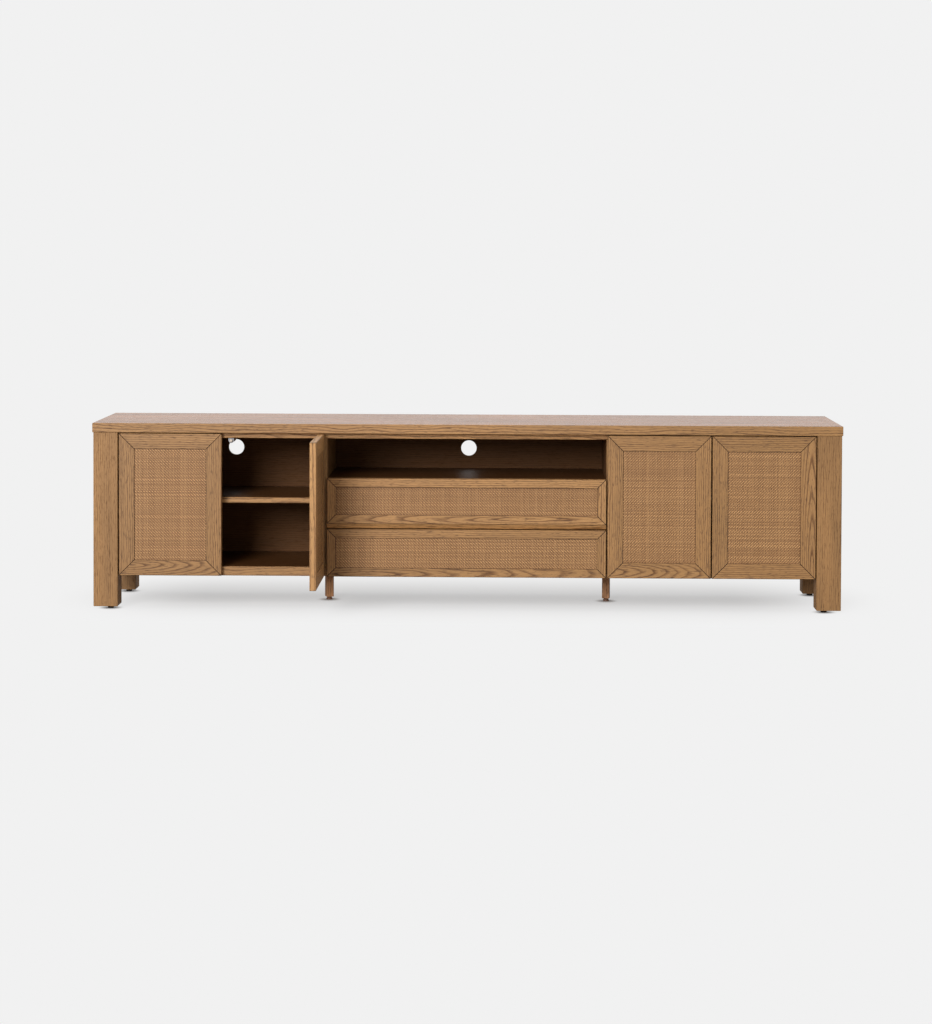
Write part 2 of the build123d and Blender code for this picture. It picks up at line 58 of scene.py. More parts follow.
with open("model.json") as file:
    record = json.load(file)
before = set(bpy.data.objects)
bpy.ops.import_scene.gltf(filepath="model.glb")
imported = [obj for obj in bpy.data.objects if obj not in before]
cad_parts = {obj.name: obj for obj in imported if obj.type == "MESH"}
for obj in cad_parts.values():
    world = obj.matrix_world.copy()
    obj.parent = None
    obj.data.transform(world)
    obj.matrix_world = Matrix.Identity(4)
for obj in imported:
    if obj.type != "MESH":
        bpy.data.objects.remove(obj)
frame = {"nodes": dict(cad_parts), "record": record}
cad_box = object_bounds()

DOORS = ("door_1", "door_2", "door_3", "door_4")
DRAWERS = ("upper_drawer", "lower_drawer")
UP = Vector((0, 0, 1))
BACK = Vector((0, 1, 0))
MM = 0.001

VECTOR = "ShaderNodeVectorMath"
SPLIT = "ShaderNodeSeparateXYZ"
JOIN = "ShaderNodeCombineXYZ"
NOISE = "ShaderNodeTexNoise"
RANGE = "ShaderNodeMapRange"
MIX = "ShaderNodeMix"
ATTRIBUTE = "ShaderNodeAttribute"
BUMP = "ShaderNodeBump"
PRINCIPLED = "ShaderNodeBsdfPrincipled"
MIX_SHADER = "ShaderNodeMixShader"
RAYS = "ShaderNodeLightPath"
COORDINATES = "ShaderNodeTexCoord"


def srgb(code):
    """A #RRGGBB colour as linear red, green, blue."""
    parts = [int(code[i : i + 2], 16) / 255 for i in (1, 3, 5)]
    return tuple(c / 12.92 if c <= 0.04045 else ((c + 0.055) / 1.055) ** 2.4 for c in parts)


def opaque(rgb, level=1):
    return (*(c * level for c in rgb), 1)


def colour(name, description, code):
    return FloatVectorProperty(
        name=name, description=description, subtype="COLOR", size=3, min=0, max=1, default=srgb(code)
    )


def length(name, description, millimetres):
    return FloatProperty(
        name=name, description=description, unit="LENGTH", min=0, default=millimetres * MM, precision=5
    )


def turn(name, description, degrees):
    return FloatProperty(name=name, description=description, subtype="ANGLE", default=radians(degrees))


def share(name, description, value, most=1):
    return FloatProperty(
        name=name, description=description, subtype="FACTOR", min=0, max=most, default=value
    )


def count(name, description, value, least=1):
    return IntProperty(name=name, description=description, default=value, min=least)


class OakSettings(bpy.types.PropertyGroup):
    """Colours and figure of the oak"""

    wood: colour("Wood", "Smooth late wood between the pores", "#B08453")
    ring: colour("Ring", "Porous early wood of each year's ring", "#764F29")
    pore: colour("Pore", "Stain lying in the open pores", "#5E3F25")
    # along each window this dark colour is painted shade
    joint: colour("Joint", "Stain gathered in the mitres, and painted shade along each window", "#3A2616")
    # the top's upper face is painted paler and pinker: a painted sheen
    top_wood_painted_sheen: colour("Top wood", "Late wood of the top's upper face, rubbed smoother, with painted sheen", "#C48D69")
    post_wood: colour("Post wood", "Late wood of the solid posts", "#A27849")
    post_ring: colour("Post ring", "Early wood of the solid posts, which hardly shows", "#8A643D")
    post_pore: colour("Post pore", "Stain in the open pores of the solid posts", "#6A4828")
    # the centre legs are painted paler: painted light where the base shades them
    leg_wood_painted_light: colour("Leg wood", "Late wood of the two centre legs, with painted light", "#DDA274")
    leg_ring_painted_light: colour("Leg ring", "Early wood of the two centre legs, with painted light", "#B8845A")
    leg_pore: colour("Leg pore", "Stain in the open pores of the two centre legs", "#6A4528")
    ring_width: length("Ring width", "Width of one year's ring, drawn wide enough to show", 6)
    # the faces inside the bays are drawn darker: painted shade
    inside_wood_painted_shade: colour("Inside wood", "Late wood of the faces inside the bays, darkened as painted shade", "#6C4316")
    shelf_wood_painted_shade: colour("Shelf wood", "Late wood of the shelves and floors of the bays, darkened as painted shade", "#523112")
    inside_ring_painted_shade: colour("Inside ring", "Early wood of the faces inside the bays, darkened as painted shade", "#55320E")
    pore_length: length("Pore length", "Length of one row of pores", 18)
    edge_ease: length("Edge ease", "Easing along the edges of a board", 0.6)
    mitre_ease: length("Mitre ease", "Easing along each mitre and window", 1)
    sheen: share("Sheen", "Roughness of the lacquer", 0.42)
    top_sheen: share("Top sheen", "Roughness of the top, rubbed smoother", 0.25)
    solid_sheen: share("Solid sheen", "Roughness of the solid posts and legs", 0.54)
    inside_sheen: share("Inside sheen", "Roughness of the faces inside the bays", 0.7)
    clouding: share("Clouding", "How much a veneer's tone changes along a board", 0.5, 2)
    # the top's changes in tone are partly painted changes in its sheen
    top_clouding_and_sheen: share("Top clouding", "How much the top's tone changes along it, partly as painted sheen", 1.2, 2)
    post_clouding: share("Post clouding", "How much a post's tone changes along it", 1.1, 2)


class CaneSettings(bpy.types.PropertyGroup):
    """Woven cane of the doors and drawers"""

    strand: colour("Strand", "Peeled cane at its palest", "#C1925F")
    shade: colour("Shade", "Darker strands and their edges", "#8A6039")
    # the board behind the weave is drawn dark: painted shade under the strands
    behind: colour("Behind", "Late wood of the board behind the weave, darkened as painted shade", "#4B321E")
    behind_ring: colour("Behind ring", "Early wood of the board behind the weave, darkened as painted shade", "#3E2918")
    behind_pore: colour("Behind pore", "Pores of the board behind the weave, darkened as painted shade", "#2A1B10")
    behind_sheen: share("Behind sheen", "Roughness of the board behind the weave", 0.6)
    pitch: length("Pitch", "Distance from strand to strand", 3)
    strand_width: length("Strand width", "Width of a flat strand", 2.5)
    crown: length("Crown", "How far a strand's middle stands over its edges", 0.22)
    ride_height: length("Ride height", "Rise of a strand where it passes over another", 0.36)
    tuck: length("Tuck", "How far the weave runs on under the frame's lip", 0.5)
    dark_every: count("Dark every", "Strands from one darker one to the next", 4, 2)
    overs: count("Overs", "Strands passed over before one is passed under", 2)


class FittingSettings(bpy.types.PropertyGroup):
    """Metal and plastic fittings"""

    ply: colour("Ply", "Pale figure of the birch plywood", "#C9A673")
    ply_figure: colour("Ply figure", "Darker figure of the birch plywood", "#B58D5A")
    ply_layer: colour("Ply layer", "End grain of every other layer of the plywood", "#8F6B42")
    ply_fleck: colour("Ply fleck", "Short flecks in the faces of the plywood", "#96703F")
    zinc: colour("Zinc", "Bright zinc plate of the runners", "#A9ABAC")
    nickel: colour("Nickel", "Nickel plate of the hinges", "#B4B0A9")
    screw: colour("Screw", "Yellow zinc plate of the screws", "#B3A27C")
    glide: colour("Glide", "Moulded plastic of the glides", "#2A1C14")
    pale_glide: colour("Pale glide", "Moulded plastic of the centre legs' glides", "#8A6652")
    latch: colour("Latch", "Moulded plastic of the latch housings", "#A6A6AB")
    plunger: colour("Plunger", "Moulded plastic of the latch plungers", "#E0D5C8")
    latch_sheen: share("Latch sheen", "Roughness of the latch housings", 0.42)
    plunger_sheen: share("Plunger sheen", "Roughness of the latch plungers", 0.35)
    glide_sheen: share("Glide sheen", "Roughness of the glides", 0.4)
    head_radius: length("Head radius", "Radius of a pan screw's head", 3)
    back_spacing: length("Back spacing", "Distance between the screws of the back panels", 150)


class StageSettings(bpy.types.PropertyGroup):
    """Floor, backdrop, light and camera"""

    backdrop: colour("Backdrop", "Colour behind and under the unit", "#F1F1F1")
    bounce: colour("Bounce", "Colour that the floor gives back to the unit", "#ABA6A0")
    key_power: FloatProperty(
        name="Key power", description="Power of the large lamp", default=1450, min=0, unit="POWER"
    )
    key_azimuth: turn("Key azimuth", "How far the lamp stands to the left", 20)
    key_elevation: turn("Key elevation", "How high the lamp stands", 22)
    key_distance: length("Key distance", "From the unit to the lamp", 14000)
    key_width: length("Key width", "Width of the lamp", 4600)
    key_height: length("Key height", "Height of the lamp", 7000)
    ambient: share("Ambient", "Light from all round", 0.26)
    overhead: share("Overhead", "How many times as strong that light is from straight above", 2.4, 4)
    right_side: share("Right side", "How many times as strong that light is from the right", 1.8, 4)
    far_side: share("Far side", "How bright the backdrop looks when it is mirrored in front", 0.1)
    shade_level: share("Shade level", "Share of the floor's plain colour left under the unit", 0.54)
    shade_reach: length("Shade reach", "How far the floor's shade runs out", 600)
    shade_back: length("Shade back", "How far behind the unit's middle the shade is deepest", 100)
    floor_reach: length("Floor reach", "Half width of the floor", 12000)


class MediaUnitSettings(bpy.types.PropertyGroup):
    """Everything that a user may change"""

    oak: PointerProperty(name="Oak", description="Oak veneer", type=OakSettings)
    cane: PointerProperty(name="Cane", description="Woven cane", type=CaneSettings)
    fittings: PointerProperty(name="Fittings", description="Metal and plastic", type=FittingSettings)
    stage: PointerProperty(name="Stage", description="Floor, light and camera", type=StageSettings)


def settings():
    return bpy.context.scene.media_unit


def new_object(name, data):
    """An object with this mesh, lamp or camera, put in the scene."""
    thing = bpy.data.objects.new(name, data)
    bpy.context.collection.objects.link(thing)
    return thing


def mesh_of(work, name):
    """The finished work as a plain mesh."""
    mesh = bpy.data.meshes.new(name)
    work.to_mesh(mesh)
    work.free()
    return mesh


def add_node(tree, kind, *inputs, **fields):
    """Add one node. A kind in capitals is an operation of the Math node. Fields are its own settings.

    Inputs go to its sockets in order, or by name from one dict. Each is a number, another node's
    output, or a node, which stands for its first open output.
    """
    if kind.isupper():
        kind, fields["operation"] = "ShaderNodeMath", kind
    node = tree.nodes.new(kind)
    for name, value in fields.items():
        setattr(node, name, value)
    named = inputs[0].items() if inputs and isinstance(inputs[0], dict) else enumerate(inputs)
    for socket, value in named:
        if isinstance(value, bpy.types.Node):
            value = next(output for output in value.outputs if output.enabled)
        if isinstance(value, bpy.types.NodeSocket):
            tree.links.new(value, node.inputs[socket])
        else:
            node.inputs[socket].default_value = value
    return node


def material_of(name, finish, *details):
    """The material of this name. The first time, its finish makes the nodes and returns the shader."""
    material = bpy.data.materials.get(name)
    if not material:
        material = bpy.data.materials.new(name)
        material.use_nodes = True
        tree = material.node_tree
        tree.nodes.clear()
        add = partial(add_node, tree)
        add("ShaderNodeOutputMaterial", finish(add, *details))
    return material


# Patterns in wood, as waves to the metre along the grain, across it and through it.
OAK_DRIFT = (5, 26, 26)  # fibres wander over 200 mm along the grain and 38 mm across
OAK_CLOUDS = (1.8, 16, 16)  # the tone changes over 560 mm along a board and 60 mm across
OAK_FIBRES = (12, 640, 640)  # bundles of fibres, 80 mm long and 1.6 mm wide
PORE_ROWS = 520  # across and through; real pores are 0.3 mm wide, drawn at 2 mm to show from afar
STAINED_ROWS = 330  # likewise, for the rows that hold more stain, drawn at 3 mm
BIRCH_FIGURE = (3, 34, 34)  # waves of rotary-cut birch, 330 mm long and 30 mm wide
BIRCH_FLECKS = (50, 700, 700)  # flecks of 20 mm by 1.4 mm
# How dark a year's ring is from its first wood to its last, as (share of the year, darkness).
YEAR = ((0, 0.2), (0.1, 1), (0.3, 0.5), (0.5, 0.04), (1, 0.12))
LACQUER_IOR = 1.5


def stained_oak(add, wood, ring, pore, sheen, clouding=None):
    """Flat-cut oak veneer, stained and thinly lacquered: rings and open pores show, with a satin sheen.

    Each board holds where it was cut from the log, so rings run straight in one and peak in another.
    """
    oak = settings().oak
    clouding = clouding or oak.clouding
    place = add(ATTRIBUTE, attribute_name="grain").outputs["Vector"]
    heart = add(ATTRIBUTE, attribute_name="heart").outputs["Vector"]
    board_tone_and_painted_light = add(ATTRIBUTE, attribute_name="tone").outputs["Fac"]
    along, across, deep = add(SPLIT, place).outputs
    heart_across, heart_deep, slant = add(SPLIT, heart).outputs

    # fibres wander within this width
    wander = 2.6 * oak.ring_width
    drift = add(VECTOR, place, OAK_DRIFT, operation="MULTIPLY")
    drift = add(NOISE, {"Vector": drift, "Scale": 1, "Detail": 2, "Roughness": 0.45})
    drift = add("MULTIPLY_ADD", drift, wander, wander / -2)
    # distance from the heart of the log, counted in rings
    sideways = add("ADD", add("SUBTRACT", across, heart_across), drift)
    depth = add("ADD", add("MULTIPLY_ADD", along, slant, deep), heart_deep)
    depth = add("ADD", depth, drift)
    radius = add(VECTOR, add(JOIN, sideways, depth), operation="LENGTH")
    rings = add("DIVIDE", radius, oak.ring_width)
    early = add("ShaderNodeValToRGB", add("FRACT", rings))
    ramp = early.color_ramp.elements
    for number, (position, darkness) in enumerate((YEAR[0], YEAR[-1], *YEAR[1:-1])):
        stop = ramp[number] if number < 2 else ramp.new(position)
        stop.color = opaque((darkness, darkness, darkness))
    # some years leave a stronger line than others
    faint, strong = 0.45, 1.15
    vigour = add(NOISE, {"W": add("FLOOR", rings), "Scale": 0.37}, noise_dimensions="1D")
    early = add("MULTIPLY", early, add(RANGE, vigour, 0.35, 0.65, faint, strong))

    # pores lie in rows, most of them in the early wood
    rows = add(VECTOR, place, (0.6 / oak.pore_length, PORE_ROWS, PORE_ROWS), operation="MULTIPLY")
    rows = add(NOISE, {"Vector": rows, "Scale": 1, "Detail": 2, "Roughness": 0.6})
    rows = add(RANGE, rows, 0.45, 0.63, interpolation_type="SMOOTHSTEP")
    in_early_wood, everywhere = 0.95, 0.16
    pits = add("MULTIPLY", rows, add("MULTIPLY_ADD", early, in_early_wood, everywhere))
    # here and there one row holds more stain: short dark dashes
    dash = add(VECTOR, place, (1 / oak.pore_length, STAINED_ROWS, STAINED_ROWS), operation="MULTIPLY")
    dash = add(NOISE, {"Vector": dash, "Scale": 1, "Detail": 1})
    dash = add(RANGE, dash, 0.58, 0.7, interpolation_type="SMOOTHSTEP")
    dash_depth = 0.48
    pits = add("MULTIPLY_ADD", dash, dash_depth, pits, use_clamp=True)

    # tone changes slowly along a board, a little between fibres, and from board to board, with painted
    # light and shade on some pieces and on one lip
    clouds = add(VECTOR, place, OAK_CLOUDS, operation="MULTIPLY")
    clouds = add(NOISE, {"Vector": clouds, "Scale": 1})
    fibres = add(VECTOR, place, OAK_FIBRES, operation="MULTIPLY")
    fibres = add(NOISE, {"Vector": fibres, "Scale": 1, "Detail": 1})
    # the middle level, and how much the fibres change it
    middle, between_fibres = 0.87, 0.26
    level = add("MULTIPLY_ADD", clouds, clouding, middle - clouding / 2)
    level = add("MULTIPLY_ADD", fibres, between_fibres, level)
    level = add("MULTIPLY", level, board_tone_and_painted_light)

    ring_strength, pore_roughness = 0.95, 0.25
    lines = add("MULTIPLY", early, ring_strength, use_clamp=True)
    base = add(MIX, {0: lines, 6: opaque(wood), 7: opaque(ring)}, data_type="RGBA")
    base = add(MIX, {0: pits, 6: base, 7: opaque(pore)}, data_type="RGBA")
    base = add(VECTOR, {0: base, "Scale": level}, operation="SCALE")
    rough = add(RANGE, pits, 0, 1, sheen, sheen + pore_roughness)
    relief = add(BUMP, {"Strength": 0.3, "Distance": 0.4 * MM, "Height": pits}, invert=True)
    looks = {"Base Color": base, "Roughness": rough, "Normal": relief, "IOR": LACQUER_IOR}
    return add(PRINCIPLED, looks)


def stain_and_window_shade(add):
    """Stain that gathered where two mitred members meet: a thin dark matt line. Along a window it is
    painted shade.
    """
    joint = settings().oak.joint
    place = add(ATTRIBUTE, attribute_name="grain").outputs["Vector"]
    # patches of 17 mm
    patchy = add(NOISE, {"Vector": place, "Scale": 60})
    tint = add(MIX, {0: patchy, 6: opaque(joint), 7: opaque(joint, 2)}, data_type="RGBA")
    return add(PRINCIPLED, {"Base Color": tint, "Roughness": 0.8})


def peeled_cane(add):
    """Split cane, peeled and woven flat: silky along each strand, and no two strands quite alike."""
    cane = settings().cane
    strand = add(ATTRIBUTE, attribute_name="strand").outputs["Vector"]
    _, across, own = add(SPLIT, strand).outputs
    # numbers over 1 belong to the strands that run across
    crosswise = add("GREATER_THAN", own, 1)
    chance = add("FRACT", own)
    # bark left on the cane runs along it in streaks of 45 mm, which change from strand to strand
    streak = add(VECTOR, strand, (22, 1.2, 37), operation="MULTIPLY")
    streak = add(NOISE, {"Vector": streak, "Scale": 1, "Detail": 3, "Roughness": 0.6})
    # how much paler a strand is for its streaks and by chance, and how much darker at its edges
    by_streak, least, by_chance, at_edge = 1.4, -0.42, 0.7, -0.3
    pale = add("MULTIPLY_ADD", streak, by_streak, least)
    pale = add("MULTIPLY_ADD", chance, by_chance, pale)
    pale = add("MULTIPLY_ADD", add("MULTIPLY", across, across), at_edge, pale, use_clamp=True)
    base = add(MIX, {0: pale, 6: opaque(cane.shade), 7: opaque(cane.strand)}, data_type="RGBA")
    # the strands that run across turn more of their shine to the light
    upright, more_across = 0.61, 0.88
    level = add("MULTIPLY_ADD", crosswise, more_across, upright)
    base = add(VECTOR, {0: base, "Scale": level}, operation="SCALE")
    return add(PRINCIPLED, {"Base Color": base, "Roughness": 0.5, "IOR": LACQUER_IOR})


# Plated steel: its roughness, and how many marks to the metre its making left along x, y and z.
PRESSED = (0.28, (300, 300, 300))
ROLLED = (0.36, (700, 30, 700))
HEADED = (0.34, (500, 500, 500))


def plated_steel(add, tint, rough, marks_per_metre):
    """Steel, plated: a soft grey gleam with the faint drag marks of the tools."""
    place = add(COORDINATES).outputs["Object"]
    marks = add(VECTOR, place, marks_per_metre, operation="MULTIPLY")
    marks = add(NOISE, {"Vector": marks, "Scale": 1, "Detail": 3})
    base = add(MIX, {0: marks, 6: opaque(tint, 0.8), 7: opaque(tint)}, data_type="RGBA")
    smoother, rougher = 0.8 * rough, 1.3 * rough
    rough = add(RANGE, marks, 0.3, 0.7, smoother, rougher)
    return add(PRINCIPLED, {"Base Color": base, "Metallic": 1, "Roughness": rough})


def moulded_plastic(add, tint, rough):
    """Plastic from a spark-eroded mould: an even colour with a fine pebbled skin."""
    place = add(COORDINATES).outputs["Object"]
    # 0.4 mm pebbles, and clouds of 25 mm where the melt cooled unevenly
    pebble = add(NOISE, {"Vector": place, "Scale": 2500, "Detail": 1})
    cloud = add(NOISE, {"Vector": place, "Scale": 40})
    base = add(MIX, {0: cloud, 6: opaque(tint, 0.85), 7: opaque(tint)}, data_type="RGBA")
    skin = add(BUMP, {"Strength": 0.2, "Distance": 0.2 * MM, "Height": pebble})
    return add(PRINCIPLED, {"Base Color": base, "Roughness": rough, "Normal": skin, "IOR": 1.46})


def birch_ply(add):
    """Birch plywood, sanded and lacquered: pale rotary-cut faces and thin brown layers on the edges."""
    look = settings().fittings
    place = add(ATTRIBUTE, attribute_name="grain").outputs["Vector"]
    deep = add(SPLIT, place).outputs[2]
    figure = add(VECTOR, place, BIRCH_FIGURE, operation="MULTIPLY")
    figure = add(NOISE, {"Vector": figure, "Scale": 1, "Detail": 4, "Roughness": 0.55})
    figure = add(RANGE, figure, 0.3, 0.7)
    fleck = add(VECTOR, place, BIRCH_FLECKS, operation="MULTIPLY")
    fleck = add(NOISE, {"Vector": fleck, "Scale": 1})
    most_fleck, most_layer = 0.35, 0.3
    fleck = add(RANGE, fleck, 0.55, 0.8, 0, most_fleck)
    # 1.4 mm layers, every other one turned crosswise, so that it shows its dark end grain
    two_layers = 2.8 * MM
    layer = add("FRACT", add("DIVIDE", deep, two_layers))
    layer = add(RANGE, layer, 0.45, 0.55, 0, most_layer)
    base = add(MIX, {0: figure, 6: opaque(look.ply), 7: opaque(look.ply_figure)}, data_type="RGBA")
    base = add(MIX, {0: layer, 6: base, 7: opaque(look.ply_layer)}, data_type="RGBA")
    base = add(MIX, {0: fleck, 6: base, 7: opaque(look.ply_fleck)}, data_type="RGBA")
    return add(PRINCIPLED, {"Base Color": base, "Roughness": 0.45, "IOR": LACQUER_IOR})


def oak_face():
    """The finish of most boards."""
    oak = settings().oak
    looks = (oak.wood, oak.ring, oak.pore, oak.sheen)
    return material_of("Oak veneer, stained and lacquered", stained_oak, *looks)


# Where a member was cut, in metres: how far across and behind it the heart of the log lay, how much
# its grain slants to the heart in a metre, and how far from its lower end the figure is centred.
# The members that peak in the photograph are named here; the rest are cut straighter.
CUTS = {
    "upper_drawer_front bottom": (0.002, 0.012, -0.058, 0.64),
    "lower_drawer_front bottom": (-0.004, 0.020, 0.070, 0.30),
    "door_1_frame bottom": (0.006, 0.010, 0.130, 0.02),
    "door_3_frame bottom": (-0.004, 0.012, 0.150, 0.00),
    "door_4_frame right": (0.012, 0.016, 0.060, 0.06),
}

# How chance cuts the other boards: the same first three, how far along the log the board starts,
# and its tone.
HEART_ACROSS = (0.05, 0.13)
HEART_BEHIND = (0.01, 0.05)
SLANT = (-0.02, 0.02)
START = (3, 40)
OWN_TONE = (0.95, 1.05)
# A wide board was cut with the heart beyond its front edge, so that its grain runs straight there.
FRONT_EDGE = -0.25
BEYOND_EDGE = (0.02, 0.04)
BEHIND_WIDE = 0.05

# The front whose finger lip is painted paler towards its lower edge, painted light in the shaded gap,
# and how much paler.
LIPPED = "upper_drawer_front"
LIP_PAINTED_LIGHT = 1.4

# Pieces paler or darker than the rest in the photograph: partly own tone, partly painted light and
# shade.
TONE_AND_PAINTED_LIGHT = {
    "top_slab": 1.08,
    "sub_top": 1.42,
    "shelf_left": 1.12,
    "door_1_frame": 0.95,
    "door_2_frame": 1.34,
    "upper_drawer_front": 1.18,
    "lower_drawer_front": 1.02,
}


def solid_of(node):
    """A CAD node's mesh with its corners joined and its flat faces whole, ready to be worked on."""
    same_spot, flat = 0.001 * MM, radians(0.5)
    work = bmesh.new()
    work.from_mesh(frame["nodes"][node].data)
    bmesh.ops.remove_doubles(work, verts=work.verts, dist=same_spot)
    bmesh.ops.dissolve_limit(work, angle_limit=flat, verts=work.verts, edges=work.edges)
    return work


def boards_in(work):
    """The separate boards of a mesh, each as a list of its corners."""
    left = set(work.verts)
    boards = []
    while left:
        board, reach = [], [left.pop()]
        while reach:
            corner = reach.pop()
            board.append(corner)
            for edge in corner.link_edges:
                other = edge.other_vert(corner)
                if other in left:
                    left.remove(other)
                    reach.append(other)
        boards.append(board)
    return sorted(boards, key=lambda corners: [round(x, 4) for x in span(corners)[0]])


def span(corners):
    low = Vector([min(c.co[i] for c in corners) for i in range(3)])
    high = Vector([max(c.co[i] for c in corners) for i in range(3)])
    return low, high


def member_word(low, high, whole_low, whole_high, long_axis):
    """Which member of a frame a board is, by where it lies in the frame."""
    away = (low + high - whole_low - whole_high) / 2
    if long_axis == 2:
        return "right" if away.x + away.y > 0 else "left"
    return "top" if away.z > 0 else "bottom"


def lay_grain(work, node, grain_axis=None):
    """Give every board its own grain: place along, across and through it, and where it was cut."""
    grain = work.verts.layers.float_vector.new("grain")
    heart = work.verts.layers.float_vector.new("heart")
    tone = work.verts.layers.float.new("tone")
    whole_low, whole_high = span(work.verts)
    for number, board in enumerate(boards_in(work)):
        low, high = span(board)
        size = high - low
        # the axes along, across and through the board
        axes = sorted(range(3), key=lambda axis: -round(size[axis], 4))
        if grain_axis is not None:
            axes = [grain_axis] + [axis for axis in axes if axis != grain_axis]
        chance = Random(f"{node} {number}")
        across = chance.choice((-1, 1)) * chance.uniform(*HEART_ACROSS)
        behind = chance.uniform(*HEART_BEHIND)
        slant = chance.uniform(*SLANT)
        start = chance.uniform(*START)
        # a board's own tone, times its piece's tone and its painted light and shade
        own_tone_and_painted_light = chance.uniform(*OWN_TONE) * TONE_AND_PAINTED_LIGHT.get(node, 1)
        centred = 0
        if grain_axis == 0:
            across, behind = FRONT_EDGE - chance.uniform(*BEYOND_EDGE), BEHIND_WIDE
        name = f"{node} {member_word(low, high, whole_low, whole_high, axes[0])}"
        if name in CUTS:
            across, behind, slant, centred = CUTS[name]
        middle = (low + high) / 2
        origin = (low[axes[0]] - start, middle[axes[1]], middle[axes[2]])
        for corner in board:
            corner[grain] = [corner.co[axis] - zero for axis, zero in zip(axes, origin)]
            corner[heart] = (across, behind - slant * (start + centred), slant)
            # the lip's lower edge is painted paler: painted light where the gap under it lies in shade
            rubbed = node == LIPPED and corner.co.z < whole_low.z + MM
            corner[tone] = own_tone_and_painted_light * (LIP_PAINTED_LIGHT if rubbed else 1)


def slopes_as_mitre(face, sideways):
    """True for a face that slopes about halfway between sideways and upright."""
    least_part = 0.6
    return min(abs(face.normal.dot(sideways)), abs(face.normal.z)) > least_part


def at_window(edge, low, high, outward):
    """True for the front edge of a frame's window, well inside the frame's own outline."""
    narrowest_member, at_front = 20 * MM, 0.1 * MM
    middle = (edge.verts[0].co + edge.verts[1].co) / 2
    room = [min(middle[i] - low[i], high[i] - middle[i]) for i in range(3) if not outward[i]]
    front = max(low.dot(outward), high.dot(outward))
    return min(room) > narrowest_member and front - middle.dot(outward) < at_front


def ease_edges(work, ease, frame_axes=None):
    """Take the sharp edge off each long arris, or in a mitred frame off its mitres and its window."""
    shortest, bluntest = 9 * MM, radians(60)
    low, high = span(work.verts)
    arrises = []
    for edge in work.edges:
        if len(edge.link_faces) != 2 or edge.calc_length() < shortest:
            continue
        if edge.calc_face_angle_signed() < bluntest:
            continue
        if frame_axes:
            sideways, outward = frame_axes
            mitred = any(slopes_as_mitre(face, sideways) for face in edge.link_faces)
            if not mitred and not at_window(edge, low, high, outward):
                continue
        arrises.append(edge)
    flat = {"segments": 1, "profile": 0.5, "affect": "EDGES"}
    return bmesh.ops.bevel(work, geom=arrises, offset=ease, **flat)["faces"]


def finish_piece(name, mesh, body, replaced, materials, smooth=None):
    """Put a finished mesh in the scene as a piece of the unit."""
    if not mesh.polygons:
        raise RuntimeError(f"{name} came out empty")
    for material in materials:
        if material.name not in mesh.materials:
            mesh.materials.append(material)
    piece = new_object(name, mesh)
    if smooth:
        mesh.shade_smooth()
        mesh.set_sharp_from_angle(angle=smooth)
    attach(piece, body)
    if replaced:
        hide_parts(*replaced)


def body_of_node(node):
    for body, nodes in frame["record"]["behaviour"]["bodies"].items():
        if node in nodes:
            return body
    raise RuntimeError(f"no body holds {node}")


# The top, which is rubbed smoother with a painted sheen, and the boards that line the bays, darkened
# as painted shade: the way that the faces with this second finish look. None is any way but the front.
SECOND_FINISH = {
    "top_slab": UP,
    "base_panel": UP,
    "sub_top": -UP,
    "back_panels": -BACK,
    "divider_left": Vector((-1, 0, 0)),
    **dict.fromkeys(("av_shelf", "shelf_left", "shelf_right", "divider_right")),
    **dict.fromkeys(("side_panel_left", "side_panel_right")),
}

# Those that things stand on have a coat of lacquer.
SHELVES = ("base_panel", "av_shelf", "shelf_left", "shelf_right")


def mark_faces(work, direction):
    """Mark for the second finish the faces that look one way, or with None all but the front."""
    straight, from_front = 0.9, -0.5
    for face in work.faces:
        facing = face.normal.dot(direction) > straight if direction else face.normal.y > from_front
        face.material_index = int(facing)


def second_finish(node):
    """The top's smooth upper face with painted sheen, or the painted shade of a board inside the bays.
    """
    oak = settings().oak
    if node == "top_slab":
        # the top's upper face: paler, pinker wood and stronger clouding as a painted sheen
        looks = (oak.top_wood_painted_sheen, oak.ring, oak.pore, oak.top_sheen, oak.top_clouding_and_sheen)
        return material_of("Oak veneer, rubbed smooth, painted sheen", stained_oak, *looks)
    if node in SHELVES:
        # shelves and bay floors: darker wood as painted shade, lacquered
        looks = (oak.shelf_wood_painted_shade, oak.inside_ring_painted_shade, oak.inside_ring_painted_shade, oak.sheen)
        return material_of("Oak veneer, lacquered, painted shade", stained_oak, *looks)
    # other faces inside the bays: darker wood as painted shade
    looks = (oak.inside_wood_painted_shade, oak.inside_ring_painted_shade, oak.inside_ring_painted_shade, oak.inside_sheen)
    return material_of("Oak veneer, painted shade", stained_oak, *looks)


def veneered(
    node, piece_name, material=None, grain_axis=None, ease=0, frame_axes=None
):
    """Replace a CAD board, or a set of boards, with the same shape, eased and with grain of its own."""
    work = solid_of(node)
    materials = [material or oak_face()]
    eased = ease_edges(work, ease, frame_axes) if ease else []
    if frame_axes:
        # stain gathers in the mitres; the same dark line along the window is painted shade
        joints = [face for face in work.faces if slopes_as_mitre(face, frame_axes[0])]
        for face in joints + eased:
            face.material_index = 1
        materials.append(material_of("Oak, mitre stain and painted window shade", stain_and_window_shade))
    if node in SECOND_FINISH:
        mark_faces(work, SECOND_FINISH[node])
        materials.append(second_finish(node))
    lay_grain(work, node, grain_axis)
    mesh = mesh_of(work, piece_name)
    finish_piece(piece_name, mesh, body_of_node(node), [node], materials)


def window_of(node):
    """Centre, width, height, outward direction and right-hand direction of a cane panel."""
    low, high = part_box(node)
    low, high = Vector(low), Vector(high)
    size = high - low
    outward = -BACK if size.y < size.x else Vector((1, 0, 0))
    return (low + high) / 2, max(size.x, size.y), size.z, outward, UP.cross(outward)


